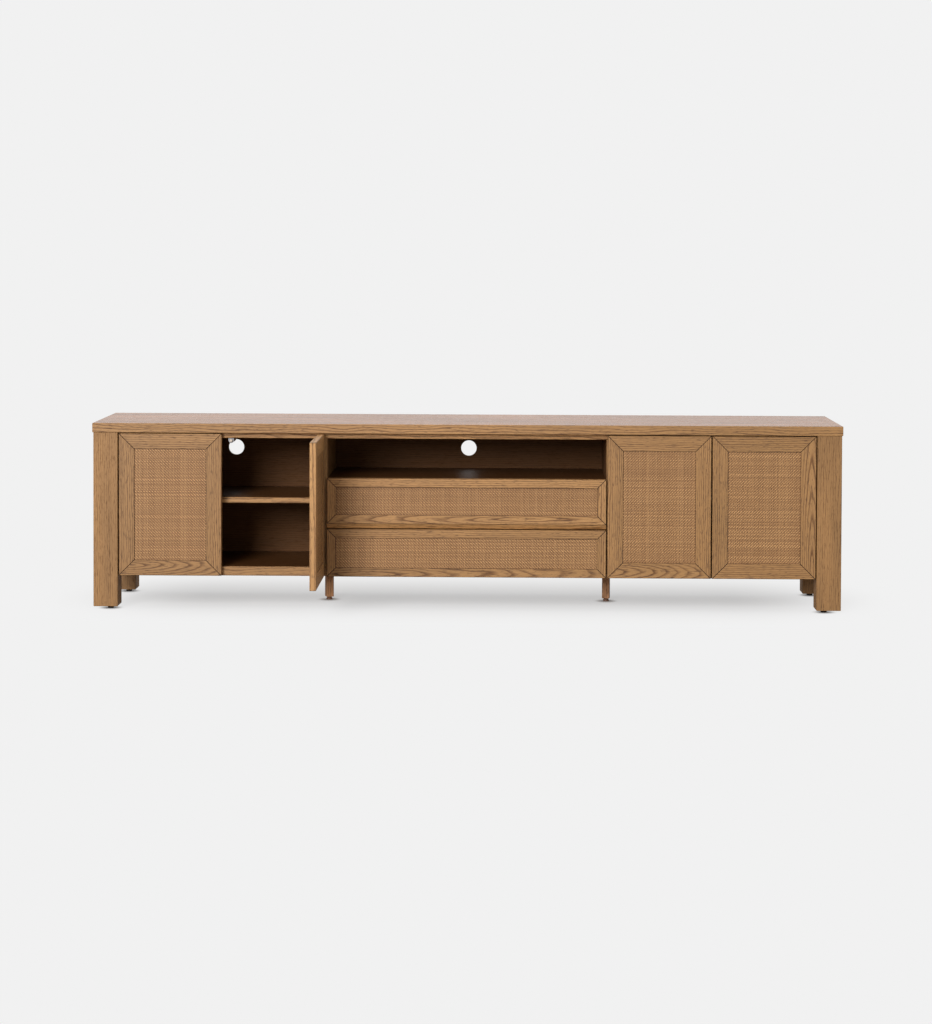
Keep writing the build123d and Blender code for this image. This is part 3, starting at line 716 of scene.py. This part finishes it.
def strand_sheet(add, group, across, along, weft):
    """Nodes for one set of parallel strands: flat strips that rise and dip, each with its numbers."""
    names = ("Pitch", "Strand width", "Crown", "Ride height", "Overs", "Lean", "Seed")
    pitch, width, crown, rise, overs, lean, seed = (group.outputs[name] for name in names)
    strands = add("FLOOR", add("DIVIDE", across, pitch))
    crossings = add("FLOOR", add("DIVIDE", along, pitch))
    # three columns of points to a strand; one row to a crossing, and one more at each end
    columns, rows = add("MULTIPLY", strands, 3), add("ADD", crossings, 2)
    grid = add("GeometryNodeMeshGrid", {"Vertices X": columns, "Vertices Y": rows})
    index = add("GeometryNodeInputIndex")
    # numbers are rounded down from half a step above, so that no small error counts
    middle = add("ADD", index, 0.5)
    column = add("FLOOR", add("DIVIDE", middle, rows))
    row = add("SUBTRACT", index, add("MULTIPLY", column, rows))
    strand = add("FLOOR", add("MULTIPLY_ADD", column, 1 / 3, 0.1))
    # from one edge of a strand to the other: -1, 0 and 1
    part = add("SUBTRACT", add("MULTIPLY_ADD", strand, -3, column), 1)

    # the twill: each strand starts its overs one crossing after its neighbour, up or down
    crossing = add("SUBTRACT", row, 1)
    leaning = (crossing, lean, strand) if weft else (strand, lean, crossing)
    step = add("FLOORED_MODULO", add("MULTIPLY_ADD", *leaning), add("ADD", overs, 1))
    over = add("GREATER_THAN" if weft else "LESS_THAN", step, add("SUBTRACT", overs, 0.5))
    bulge = add("SUBTRACT", 1, add("ABSOLUTE", part))
    height = add("MULTIPLY_ADD", bulge, crown, add("MULTIPLY", add("SUBTRACT", over, 0.5), rise))

    # by chance a strand lies up to 0.08 of the pitch to one side of its place, 0.5; each of the two
    # sets of strands has chances of its own
    own_seed = add("ADD", seed, 7 if weft else 3)
    chance = add("FunctionNodeRandomValue", {"ID": strand, "Seed": own_seed}, data_type="FLOAT")
    sideways = add("ADD", strand, add("MULTIPLY_ADD", chance, 0.16, 0.42))
    sideways = add("MULTIPLY_ADD", sideways, pitch, add("MULTIPLY", across, -0.5))
    sideways = add("MULTIPLY_ADD", part, add("MULTIPLY", width, 0.5), sideways)
    start, end = add("MULTIPLY", along, -0.5), add("MULTIPLY", along, 0.5)
    lengthways = add("MULTIPLY_ADD", add("SUBTRACT", row, 0.5), pitch, start)
    lengthways = add("MINIMUM", add("MAXIMUM", lengthways, start), end)
    order = (lengthways, sideways, height) if weft else (sideways, lengthways, height)
    sheet = {"Geometry": grid.outputs["Mesh"], "Position": add(JOIN, *order)}
    sheet = add("GeometryNodeSetPosition", sheet)
    # a strand's own number is chance between 0 and 1, and near 0 for the dark ones
    dark = add("LESS_THAN", add("FLOORED_MODULO", strand, group.outputs["Dark every"]), 0.5)
    most, most_if_dark = 0.98, 0.1
    own = add("MULTIPLY", chance, add(RANGE, dark, 0, 1, most, most_if_dark))
    own = add("ADD", own, 1 if weft else 0)
    known = {"Geometry": sheet, "Name": "strand", "Value": add(JOIN, lengthways, part, own)}
    sheet = add("GeometryNodeStoreNamedAttribute", known, data_type="FLOAT_VECTOR", domain="POINT")
    # the faces of every third column would bridge two strands
    column = add("FLOOR", add("DIVIDE", middle, add("ADD", crossings, 1)))
    gap = add("GREATER_THAN", add("MODULO", column, 3), 1.5)
    sheet = add("GeometryNodeDeleteGeometry", {"Geometry": sheet, "Selection": gap}, domain="FACE")
    return add("GeometryNodeFlipFaces", sheet) if weft else sheet


def grow_tree(name, sockets):
    """An empty geometry tree with these named inputs, what adds its nodes, and the inputs' node."""
    tree = bpy.data.node_groups.new(name, "GeometryNodeTree")
    inputs = (("Geometry", "Geometry", None), *sockets, ("Material", "Material", None))
    for label, kind, value in inputs:
        socket = tree.interface.new_socket(label, in_out="INPUT", socket_type=f"NodeSocket{kind}")
        if value is not None:
            socket.default_value = value
    tree.interface.new_socket("Geometry", in_out="OUTPUT", socket_type="NodeSocketGeometry")
    add = partial(add_node, tree)
    return tree, add, add("NodeGroupInput")


def end_tree(tree, add, group, shape):
    """Make what the tree grows real, give it its material and put it out."""
    real = add("GeometryNodeRealizeInstances", {"Geometry": shape})
    made = {"Geometry": real, "Material": group.outputs["Material"]}
    add("NodeGroupOutput", add("GeometryNodeSetMaterial", made))
    return tree


def weave_sizes():
    """What the cane is woven to, by the names of the tree's inputs."""
    cane = settings().cane
    return {
        "Pitch": cane.pitch,
        "Strand width": cane.strand_width,
        "Crown": cane.crown,
        "Ride height": cane.ride_height,
        "Overs": cane.overs,
        "Dark every": cane.dark_every,
    }


def woven_cane_tree():
    """Geometry nodes that weave flat strands in a twill over a window of any size."""
    sizes = {"Window width": 230 * MM, "Window height": 360 * MM, **weave_sizes(), "Lean": 1, "Seed": 1}
    kinds = {int: "Int", float: "Float"}
    sockets = [(name, kinds[type(value)], value) for name, value in sizes.items()]
    tree, add, group = grow_tree("Woven cane", sockets)
    wide, high = group.outputs["Window width"], group.outputs["Window height"]
    both = add("GeometryNodeJoinGeometry", strand_sheet(add, group, wide, high, False))
    tree.links.new(strand_sheet(add, group, high, wide, True).outputs[0], both.inputs[0])
    return end_tree(tree, add, group, both)


def screw_tree():
    """Geometry nodes that put a screw's head on every point, each turned its own way."""
    head_radius = settings().fittings.head_radius
    sockets = (("Head", "Object", None), ("Head radius", "Float", head_radius), ("Seed", "Int", 4))
    tree, add, group = grow_tree("Screws", sockets)
    outward = add("GeometryNodeInputNamedAttribute", {"Name": "facing"}, data_type="FLOAT_VECTOR")
    stand = add("FunctionNodeAlignRotationToVector", {"Vector": outward}, axis="Z")
    # socket 3 is the largest turn
    spin = add("FunctionNodeRandomValue", {3: pi, "Seed": group.outputs["Seed"]}, data_type="FLOAT")
    spin = add(JOIN, 0, 0, spin)
    head = add("GeometryNodeObjectInfo", {"Object": group.outputs["Head"]})
    placing = {
        "Points": group.outputs["Geometry"],
        "Instance": head.outputs["Geometry"],
        "Rotation": add("FunctionNodeRotateRotation", stand, spin, rotation_space="LOCAL"),
        "Scale": group.outputs["Head radius"],
    }
    return end_tree(tree, add, group, add("GeometryNodeInstanceOnPoints", placing))


def grown(name, tree, values, start=None):
    """Run a geometry tree once with these inputs and return what it makes as a plain mesh."""
    carrier = new_object(name, start or bpy.data.meshes.new(name))
    modifier = carrier.modifiers.new("Grow", "NODES")
    modifier.node_group = tree
    for item in tree.interface.items_tree:
        if item.in_out == "INPUT" and item.name in values:
            modifier[item.identifier] = values[item.name]
    bpy.context.view_layer.update()
    depsgraph = bpy.context.evaluated_depsgraph_get()
    result = bpy.data.meshes.new_from_object(carrier.evaluated_get(depsgraph))
    carrier.modifiers.clear()
    bpy.data.objects.remove(carrier)
    return result


def screw_head():
    """A pan head of radius 1 with a cross recess, standing on its own origin."""
    sides, rim, shoulder, top = 16, 0.2, 0.72, 0.46
    # the recess: half its span, half an arm's width, the height of its floor and how it narrows
    arm, half, deep, taper = 0.5, 0.12, 0.2, 0.7
    ring = [(cos(2 * pi * i / sides), sin(2 * pi * i / sides)) for i in range(sides)]
    corner = ((arm, -half), (arm, half), (half, half))
    cross = []
    for quarter in range(4):
        for x, y in corner:
            for _ in range(quarter):
                x, y = -y, x
            cross.append((x, y))
    work = bmesh.new()
    outline = ((1, 0), (1, rim), (shoulder, top))
    levels = [[work.verts.new((x * r, y * r, z)) for x, y in ring] for r, z in outline]
    lip = [work.verts.new((x, y, top)) for x, y in cross]
    floor_points = [work.verts.new((x * taper, y * taper, deep)) for x, y in cross]
    for low, high in zip(levels, levels[1:]):
        for i in range(sides):
            work.faces.new((low[i], low[(i + 1) % sides], high[(i + 1) % sides], high[i]))
    around = levels[-1] + lip
    for triangle in tessellate_polygon([[p.co for p in levels[-1]], [p.co for p in lip]]):
        work.faces.new([around[i] for i in triangle])
    for i in range(len(lip)):
        after = (i + 1) % len(lip)
        work.faces.new((lip[i], lip[after], floor_points[after], floor_points[i]))
    work.faces.new(floor_points)
    work.faces.new(levels[0][::-1])
    bmesh.ops.recalc_face_normals(work, faces=work.faces)
    return mesh_of(work, "pan_head")


def screws(name, places, body, seed):
    """Screw heads at these places, each a point and the direction it faces."""
    points = bpy.data.meshes.new(name)
    points.from_pydata([tuple(point) for point, _ in places], [], [])
    outward = points.attributes.new("facing", "FLOAT_VECTOR", "POINT")
    for entry, (_, direction) in zip(outward.data, places):
        entry.vector = direction
    fittings = settings().fittings
    head = bpy.data.objects.new("pan_head", screw_head())
    material = material_of("Steel, yellow zinc plated", plated_steel, fittings.screw, *HEADED)
    tree = bpy.data.node_groups.get("Screws") or screw_tree()
    values = {"Head": head, "Head radius": fittings.head_radius, "Seed": seed, "Material": material}
    mesh = grown(name, tree, values, points)
    bpy.data.objects.remove(head)
    finish_piece(name, mesh, body, [], [material], smooth=radians(35))


def spans_of(node):
    """The lowest and highest corners of each separate piece of a CAD node."""
    work = solid_of(node)
    spans = [span(piece) for piece in boards_in(work)]
    work.free()
    return spans


def turned(work, centre, profile, sides):
    """Add a closed turned shape: rings of (radius, height), the first and last of radius 0."""
    rings = []
    for radius, height in profile:
        angles = [2 * pi * i / sides for i in range(sides if radius else 1)]
        offsets = [Vector((radius * cos(a), radius * sin(a), height)) for a in angles]
        rings.append([work.verts.new(centre + offset) for offset in offsets])
    for low, high in zip(rings, rings[1:]):
        for i in range(sides):
            after = (i + 1) % sides
            if len(low) == 1:
                work.faces.new((low[0], high[after], high[i]))
            elif len(high) == 1:
                work.faces.new((low[i], low[after], high[0]))
            else:
                work.faces.new((low[i], low[after], high[after], high[i]))


class MEDIA_UNIT_OT_carcass(bpy.types.Operator):
    """Veneer the top, posts, panels, shelves and back"""

    bl_idname = "media_unit.carcass"
    bl_label = "Carcass boards"

    def execute(self, context):
        oak = settings().oak
        ease = oak.edge_ease
        for node in ("top_slab", "base_panel", "sub_top", "av_shelf", "shelf_left", "shelf_right"):
            veneered(node, node + "_veneered", grain_axis=0, ease=ease)
        veneered("back_panels", "back_panels_veneered", grain_axis=0)
        for node in frame["nodes"]:
            if node.startswith(("side_panel_", "divider_", "end_panel_")):
                veneered(node, node + "_veneered", grain_axis=2, ease=ease)
        looks = (oak.post_wood, oak.post_ring, oak.post_pore, oak.solid_sheen, oak.post_clouding)
        solid = material_of("Oak, solid, stained", stained_oak, *looks)
        for node in frame["nodes"]:
            if node.startswith("post_"):
                veneered(node, node + "_stained", material=solid, grain_axis=2, ease=ease)
        return {"FINISHED"}


class MEDIA_UNIT_OT_centre_legs(bpy.types.Operator):
    """Stain the two centre legs, painted paler as light on them in the shade of the base"""

    bl_idname = "media_unit.centre_legs"
    bl_label = "Centre legs"

    def execute(self, context):
        oak = settings().oak
        # paler wood as painted light on legs that stand in the base's shade
        looks = (oak.leg_wood_painted_light, oak.leg_ring_painted_light, oak.leg_pore, oak.solid_sheen)
        stain = material_of("Oak for the legs, with painted light", stained_oak, *looks)
        for node in ("centre_leg_left", "centre_leg_right"):
            veneered(node, node + "_stained", stain, grain_axis=2, ease=oak.edge_ease)
        return {"FINISHED"}


class MEDIA_UNIT_OT_frames(bpy.types.Operator):
    """Veneer the mitred frames of the doors and drawers, each member with its own grain"""

    bl_idname = "media_unit.frames"
    bl_label = "Mitred frames"

    def execute(self, context):
        ease = settings().oak.mitre_ease
        for owner in DOORS + DRAWERS:
            node = f"{owner}_frame" if owner in DOORS else f"{owner}_front"
            outward, sideways = window_of(f"{owner}_cane")[3:]
            veneered(node, f"{node}_veneered", ease=ease, frame_axes=(sideways, outward))
        return {"FINISHED"}


class MEDIA_UNIT_OT_cane(bpy.types.Operator):
    """Weave the cane of each door and drawer"""

    bl_idname = "media_unit.cane"
    bl_label = "Woven cane"

    def execute(self, context):
        # the sheet lies in a groove in the frame; the weave stands off it and runs on under the lip
        groove, stand_off, smooth = 7.5 * MM, 0.15 * MM, radians(70)
        let_in = groove - settings().cane.tuck
        tree = woven_cane_tree()
        material = material_of("Rattan cane, peeled and woven", peeled_cane)
        for number, owner in enumerate(DOORS + DRAWERS):
            node = f"{owner}_cane"
            centre, wide, high, outward, sideways = window_of(node)
            values = {
                "Window width": wide - 2 * let_in,
                "Window height": high - 2 * let_in,
                **weave_sizes(),
                # the twill leans the other way in the right-hand pair of doors
                "Lean": -1 if owner in ("door_3", "door_4") else 1,
                "Seed": 11 * number + 5,
                "Material": material,
            }
            mesh = grown(node, tree, values)
            facing = Matrix((sideways, UP, outward)).transposed().to_4x4()
            mesh.transform(Matrix.Translation(centre + outward * stand_off) @ facing)
            finish_piece(f"{owner}_woven_cane", mesh, owner, [node], [material], smooth)
        return {"FINISHED"}


class MEDIA_UNIT_OT_backings(bpy.types.Operator):
    """Veneer the boards behind the cane and darken the side that shows between its strands: painted
    shade
    """

    bl_idname = "media_unit.backings"
    bl_label = "Boards behind the cane"

    def execute(self, context):
        cane = settings().cane
        # the side that shows between the strands is painted shade
        looks = (cane.behind, cane.behind_ring, cane.behind_pore, cane.behind_sheen)
        behind = material_of("Oak veneer behind the cane, painted shade", stained_oak, *looks)
        for owner in DOORS + DRAWERS:
            node = f"{owner}_backing"
            work = solid_of(node)
            lay_grain(work, node)
            mark_faces(work, window_of(f"{owner}_cane")[3])
            mesh = mesh_of(work, node)
            finish_piece(f"{node}_board", mesh, owner, [node], [oak_face(), behind])
        return {"FINISHED"}


class MEDIA_UNIT_OT_drawer_boxes(bpy.types.Operator):
    """Make the drawer boxes of birch plywood"""

    bl_idname = "media_unit.drawer_boxes"
    bl_label = "Drawer boxes"

    def execute(self, context):
        ease = settings().oak.edge_ease
        ply = material_of("Birch plywood, lacquered", birch_ply)
        for drawer in DRAWERS:
            veneered(f"{drawer}_box", f"{drawer}_box_ply", ply, ease=ease)
        return {"FINISHED"}


def coat(material, *nodes):
    """Give CAD pieces, whose shape is already right, their finish."""
    for node in nodes:
        piece = frame["nodes"][node]
        piece.data.materials.clear()
        piece.data.materials.append(material)


class MEDIA_UNIT_OT_metalwork(bpy.types.Operator):
    """Plate the hinges, shelf pins and runners"""

    bl_idname = "media_unit.metalwork"
    bl_label = "Hinges, pins and runners"

    def execute(self, context):
        nickel, zinc = settings().fittings.nickel, settings().fittings.zinc
        nickel = material_of("Steel, pressed and nickel plated", plated_steel, nickel, *PRESSED)
        zinc = material_of("Steel, rolled and zinc plated", plated_steel, zinc, *ROLLED)
        coat(nickel, "hinge_arms", "shelf_pins")
        coat(zinc, "cabinet_rails")
        for door in DOORS:
            coat(nickel, f"{door}_fittings", f"{door}_hinge_links")
        for drawer in DRAWERS:
            coat(zinc, f"{drawer}_rails", f"{drawer}_middle_rails")
        return {"FINISHED"}


class MEDIA_UNIT_OT_latches(bpy.types.Operator):
    """Colour the push latches over the doors"""

    bl_idname = "media_unit.latches"
    bl_label = "Push latches"

    def execute(self, context):
        fittings = settings().fittings
        looks = (fittings.latch, fittings.latch_sheen)
        coat(material_of("ABS, moulded grey", moulded_plastic, *looks), "latch_housings")
        looks = (fittings.plunger, fittings.plunger_sheen)
        white = material_of("Acetal, moulded white", moulded_plastic, *looks)
        for door in DOORS:
            coat(white, f"{door}_latch_plunger")
        return {"FINISHED"}


class MEDIA_UNIT_OT_glides(bpy.types.Operator):
    """Mould the six feet as domed glides on their studs"""

    bl_idname = "media_unit.glides"
    bl_label = "Glides"

    def execute(self, context):
        # sole, dome and collar, as radius and height in millimetres; the stud goes on to the unit
        sole = ((0, 0), (9.2, 0), (9.9, 0.6), (10, 1.8))
        dome = ((9.8, 4), (9, 6.2), (7.6, 7.8), (6.2, 8.6))
        collar = ((6, 10), (4, 10))
        stud, sides, near_middle, smooth = 4, 32, 100 * MM, radians(35)
        work = bmesh.new()
        for low, high in spans_of("levelling_feet"):
            top = (high.z - low.z) / MM
            profile = (*sole, *dome, *collar, (stud, top), (0, top))
            rings = [(radius * MM, height * MM) for radius, height in profile]
            turned(work, Vector(((low.x + high.x) / 2, (low.y + high.y) / 2, low.z)), rings, sides)
        bmesh.ops.recalc_face_normals(work, faces=work.faces)
        # the two of the centre legs are tan
        for face in work.faces:
            face.material_index = int(abs(face.calc_center_median().y) < near_middle)
        fittings = settings().fittings
        plastic = [
            material_of(f"Acetal, moulded {word}", moulded_plastic, tint, fittings.glide_sheen)
            for word, tint in (("dark brown", fittings.glide), ("tan", fittings.pale_glide))
        ]
        mesh, replaced = mesh_of(work, "glides"), ["levelling_feet"]
        finish_piece("glides_moulded", mesh, "carcass", replaced, plastic, smooth)
        return {"FINISHED"}


class MEDIA_UNIT_OT_hinge_screws(bpy.types.Operator):
    """Screw the hinge plates to the panels and the hinge cups to the doors"""

    bl_idname = "media_unit.hinge_screws"
    bl_label = "Hinge screws"

    def execute(self, context):
        # how thick a plate is, how far its screws and a cup's lie over and under its middle
        plate, plate_screw, cup_screw = 3 * MM, 16 * MM, 25 * MM
        # where the middle of a side bay lies, and how far forward the plates' screws do
        bay_middle, screw_line = 783.5 * MM, -160 * MM
        places = []
        for low, high in spans_of("hinge_arms"):
            outer = abs(low.x + high.x) / 2 > bay_middle
            side = 1 if (low.x < 0) == outer else -1
            face = (low.x if side > 0 else high.x) + side * plate
            for rise in (-plate_screw, plate_screw):
                places.append((Vector((face, screw_line, (low.z + high.z) / 2 + rise)), (side, 0, 0)))
        screws("hinge_plate_screws", places, "carcass", 5)
        for number, door in enumerate(DOORS):
            outward = window_of(f"{door}_cane")[3]
            places = []
            for low, high in spans_of(f"{door}_fittings"):
                # the strike of the latch is one of the pieces too, and has no screws
                if high.z - low.z < 2 * cup_screw:
                    continue
                centre = (low + high) / 2
                depth = min(low.dot(outward), high.dot(outward))
                centre += outward * (depth - centre.dot(outward))
                for rise in (-cup_screw, cup_screw):
                    places.append((centre + UP * rise, tuple(-outward)))
            screws(f"{door}_cup_screws", places, door, 6 + number)
        return {"FINISHED"}


class MEDIA_UNIT_OT_panel_screws(bpy.types.Operator):
    """Screw the back panels to the carcass and the drawer boxes to their fronts"""

    bl_idname = "media_unit.panel_screws"
    bl_label = "Back and drawer screws"

    def execute(self, context):
        # how far screws stand in from a back panel's edge, and over and under a drawer box's middle
        inset, rise = 5.5 * MM, 25 * MM
        # how thick the boards of a drawer box are
        board = 12 * MM
        spacing = settings().fittings.back_spacing
        places = []
        for low, high in spans_of("back_panels"):
            across, down = (round((high[axis] - low[axis]) / spacing) for axis in (0, 2))
            spots = []
            for i in range(across + 1):
                x = low.x + inset + (high.x - low.x - 2 * inset) * i / across
                spots += [(x, low.z + inset), (x, high.z - inset)]
            for i in range(1, down):
                z = low.z + (high.z - low.z) * i / down
                spots += [(low.x + inset, z), (high.x - inset, z)]
            places += [(Vector((x, high.y, z)), tuple(BACK)) for x, z in spots]
        screws("back_panel_screws", places, "carcass", 12)
        for number, drawer in enumerate(DRAWERS):
            low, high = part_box(f"{drawer}_box")
            middle_x, middle_z = (low[0] + high[0]) / 2, (low[2] + high[2]) / 2
            places = []
            # from the middle of the box, as shares of its width
            for part in (-0.42, -0.14, 0.14, 0.42):
                x = middle_x + part * (high[0] - low[0])
                for z in (middle_z - rise, middle_z + rise):
                    places.append((Vector((x, low[1] + board, z)), tuple(BACK)))
            screws(f"{drawer}_front_screws", places, body_of_node(f"{drawer}_box"), 13 + number)
        return {"FINISHED"}


def seen_directly(add):
    """1 where the camera looks at a thing, straight or through glass, else 0."""
    path = add(RAYS).outputs
    return add("MAXIMUM", path["Is Camera Ray"], path["Is Transmission Ray"])


# The floor's shade is deepest over this much of the unit's half length.
SHADE_SPAN = 0.7
# It darkens to this share close round each glide, from one distance to the other.
GLIDE_SHADE, GLIDE_NEAR, GLIDE_FAR = 0.15, 10 * MM, 45 * MM


def paper_floor(add):
    """Matt paper in the backdrop's own colour, with a painted shade near the unit that keeps its real
    shadow.
    """
    look = settings().stage
    direct = seen_directly(add)
    tint = {0: direct, 6: opaque(look.bounce), 7: opaque(look.backdrop)}
    tint = add(MIX, tint, data_type="RGBA")
    matt = add(PRINCIPLED, {"Base Color": tint, "Roughness": 1, "Specular IOR Level": 0})
    glow = add("ShaderNodeEmission", {"Color": opaque(look.backdrop), "Strength": 1})
    # how far a point lies from the line along the unit's middle, where its shade is deepest
    place = add(COORDINATES).outputs["Object"]
    away = add(VECTOR, place, (0, look.shade_back, 0), operation="SUBTRACT")
    away = add(VECTOR, away, operation="ABSOLUTE")
    away = add(VECTOR, away, (SHADE_SPAN * cad_box[1][0], 0, 0), operation="SUBTRACT")
    away = add(VECTOR, away, (0, 0, 0), operation="MAXIMUM")
    away = add(VECTOR, away, operation="LENGTH")
    plain = (away, 0, look.shade_reach, look.shade_level, 1)
    plain = add(RANGE, *plain, interpolation_type="SMOOTHSTEP")
    nearest = 1
    for low, high in spans_of("levelling_feet"):
        spot = ((low.x + high.x) / 2, (low.y + high.y) / 2, 0)
        nearest = add("MINIMUM", nearest, add(VECTOR, place, spot, operation="DISTANCE"))
    close = (nearest, GLIDE_NEAR, GLIDE_FAR, GLIDE_SHADE, 1)
    close = add(RANGE, *close, interpolation_type="SMOOTHSTEP")
    plain = add("MULTIPLY", add("MULTIPLY", plain, close), direct)
    return add(MIX_SHADER, plain, matt, glow)


# The camera: a long lens on a shift back, set nearly level so that upright edges stay upright.
SENSOR = 36
LENS = 2385.9014 / 1024 * SENSOR  # 2386 pixels on a picture 1024 pixels high
SHIFT = -0.2
YAW, PITCH, ROLL = 0.01956, 0.02895, 0.00343
STAND = (0.14539, -7.82981, 1.19608)
# The lamp is aimed at the middle of the unit.
AIM = Vector((0, 0, 0.3))


class MEDIA_UNIT_OT_stage(bpy.types.Operator):
    """Set the floor, the background, the lamp and the camera"""

    bl_idname = "media_unit.stage"
    bl_label = "Stage"

    def execute(self, context):
        look = settings().stage
        scene = context.scene
        world = bpy.data.worlds.new("Pale studio")
        scene.world = world
        world.use_nodes = True
        tree = world.node_tree
        tree.nodes.clear()
        add = partial(add_node, tree)
        path = add(RAYS).outputs
        right, behind, above = add(SPLIT, add(COORDINATES).outputs["Generated"]).outputs
        above = add(RANGE, above, 0, 1, look.ambient, look.ambient * look.overhead)
        right = add(RANGE, right, 0, 1, 1, look.right_side)
        level = add("MULTIPLY", above, right)
        around = add("ShaderNodeBackground", {"Color": (1, 1, 1, 1), "Strength": level})
        # the backdrop stands behind the unit, so what mirrors the front of the room is dim
        fade = 0.3
        behind = add(RANGE, behind, -fade, fade, look.far_side, 1)
        level = add("MAXIMUM", behind, path["Is Camera Ray"])
        shown = add("ShaderNodeBackground", {"Color": opaque(look.backdrop), "Strength": level})
        mirrored = add("MAXIMUM", seen_directly(add), path["Is Glossy Ray"])
        add("ShaderNodeOutputWorld", add(MIX_SHADER, mirrored, around, shown))

        mesh = bpy.data.meshes.new("floor")
        corners = ((-1, -1), (1, -1), (1, 1), (-1, 1))
        corners = [(x * look.floor_reach, y * look.floor_reach, 0) for x, y in corners]
        mesh.from_pydata(corners, [], [(0, 1, 2, 3)])
        mesh.materials.append(material_of("Paper, matt", paper_floor))
        floor_piece = new_object("floor", mesh)

        lamp = bpy.data.lights.new("Key lamp", "AREA")
        lamp.shape = "RECTANGLE"
        lamp.size, lamp.size_y = look.key_width, look.key_height
        lamp.energy = look.key_power
        level, rise = cos(look.key_elevation), sin(look.key_elevation)
        towards = Vector((-level * sin(look.key_azimuth), -level * cos(look.key_azimuth), rise))
        holder = new_object("Key lamp", lamp)
        holder.location = AIM + towards * look.key_distance
        holder.rotation_euler = (-towards).to_track_quat("-Z", "Y").to_euler()

        camera = bpy.data.cameras.new("Camera")
        camera.sensor_width, camera.lens, camera.shift_y = SENSOR, LENS, SHIFT
        aim = Matrix.Rotation(YAW, 4, "Z") @ Matrix.Rotation(pi / 2 - PITCH, 4, "X")
        holder = new_object("Camera", camera)
        holder.matrix_world = Matrix.Translation(STAND) @ aim @ Matrix.Rotation(ROLL, 4, "Z")
        scene.camera = holder
        scene.view_settings.view_transform = "Standard"
        return {"FINISHED"}


OPERATORS = (
    MEDIA_UNIT_OT_carcass,
    MEDIA_UNIT_OT_centre_legs,
    MEDIA_UNIT_OT_frames,
    MEDIA_UNIT_OT_cane,
    MEDIA_UNIT_OT_backings,
    MEDIA_UNIT_OT_drawer_boxes,
    MEDIA_UNIT_OT_metalwork,
    MEDIA_UNIT_OT_latches,
    MEDIA_UNIT_OT_glides,
    MEDIA_UNIT_OT_hinge_screws,
    MEDIA_UNIT_OT_panel_screws,
    MEDIA_UNIT_OT_stage,
)


class MEDIA_UNIT_PT_panel(bpy.types.Panel):
    """Lists the steps that dress the unit"""

    bl_label = "Media unit"
    bl_idname = "MEDIA_UNIT_PT_panel"
    bl_space_type = "VIEW_3D"
    bl_region_type = "UI"
    bl_category = "Media unit"

    def draw(self, context):
        for operator in OPERATORS:
            self.layout.operator(operator.bl_idname)


GROUPS = (OakSettings, CaneSettings, FittingSettings, StageSettings, MediaUnitSettings)
CLASSES = (*GROUPS, *OPERATORS, MEDIA_UNIT_PT_panel)


def register():
    for item in CLASSES:
        bpy.utils.register_class(item)
    bpy.types.Scene.media_unit = PointerProperty(type=MediaUnitSettings)


def unregister():
    del bpy.types.Scene.media_unit
    for item in reversed(CLASSES):
        bpy.utils.unregister_class(item)


def main():
    register()
    for operator in OPERATORS:
        step = operator.bl_idname.split(".")[1]
        getattr(bpy.ops.media_unit, step)()


if __name__ == "__main__":
    main()
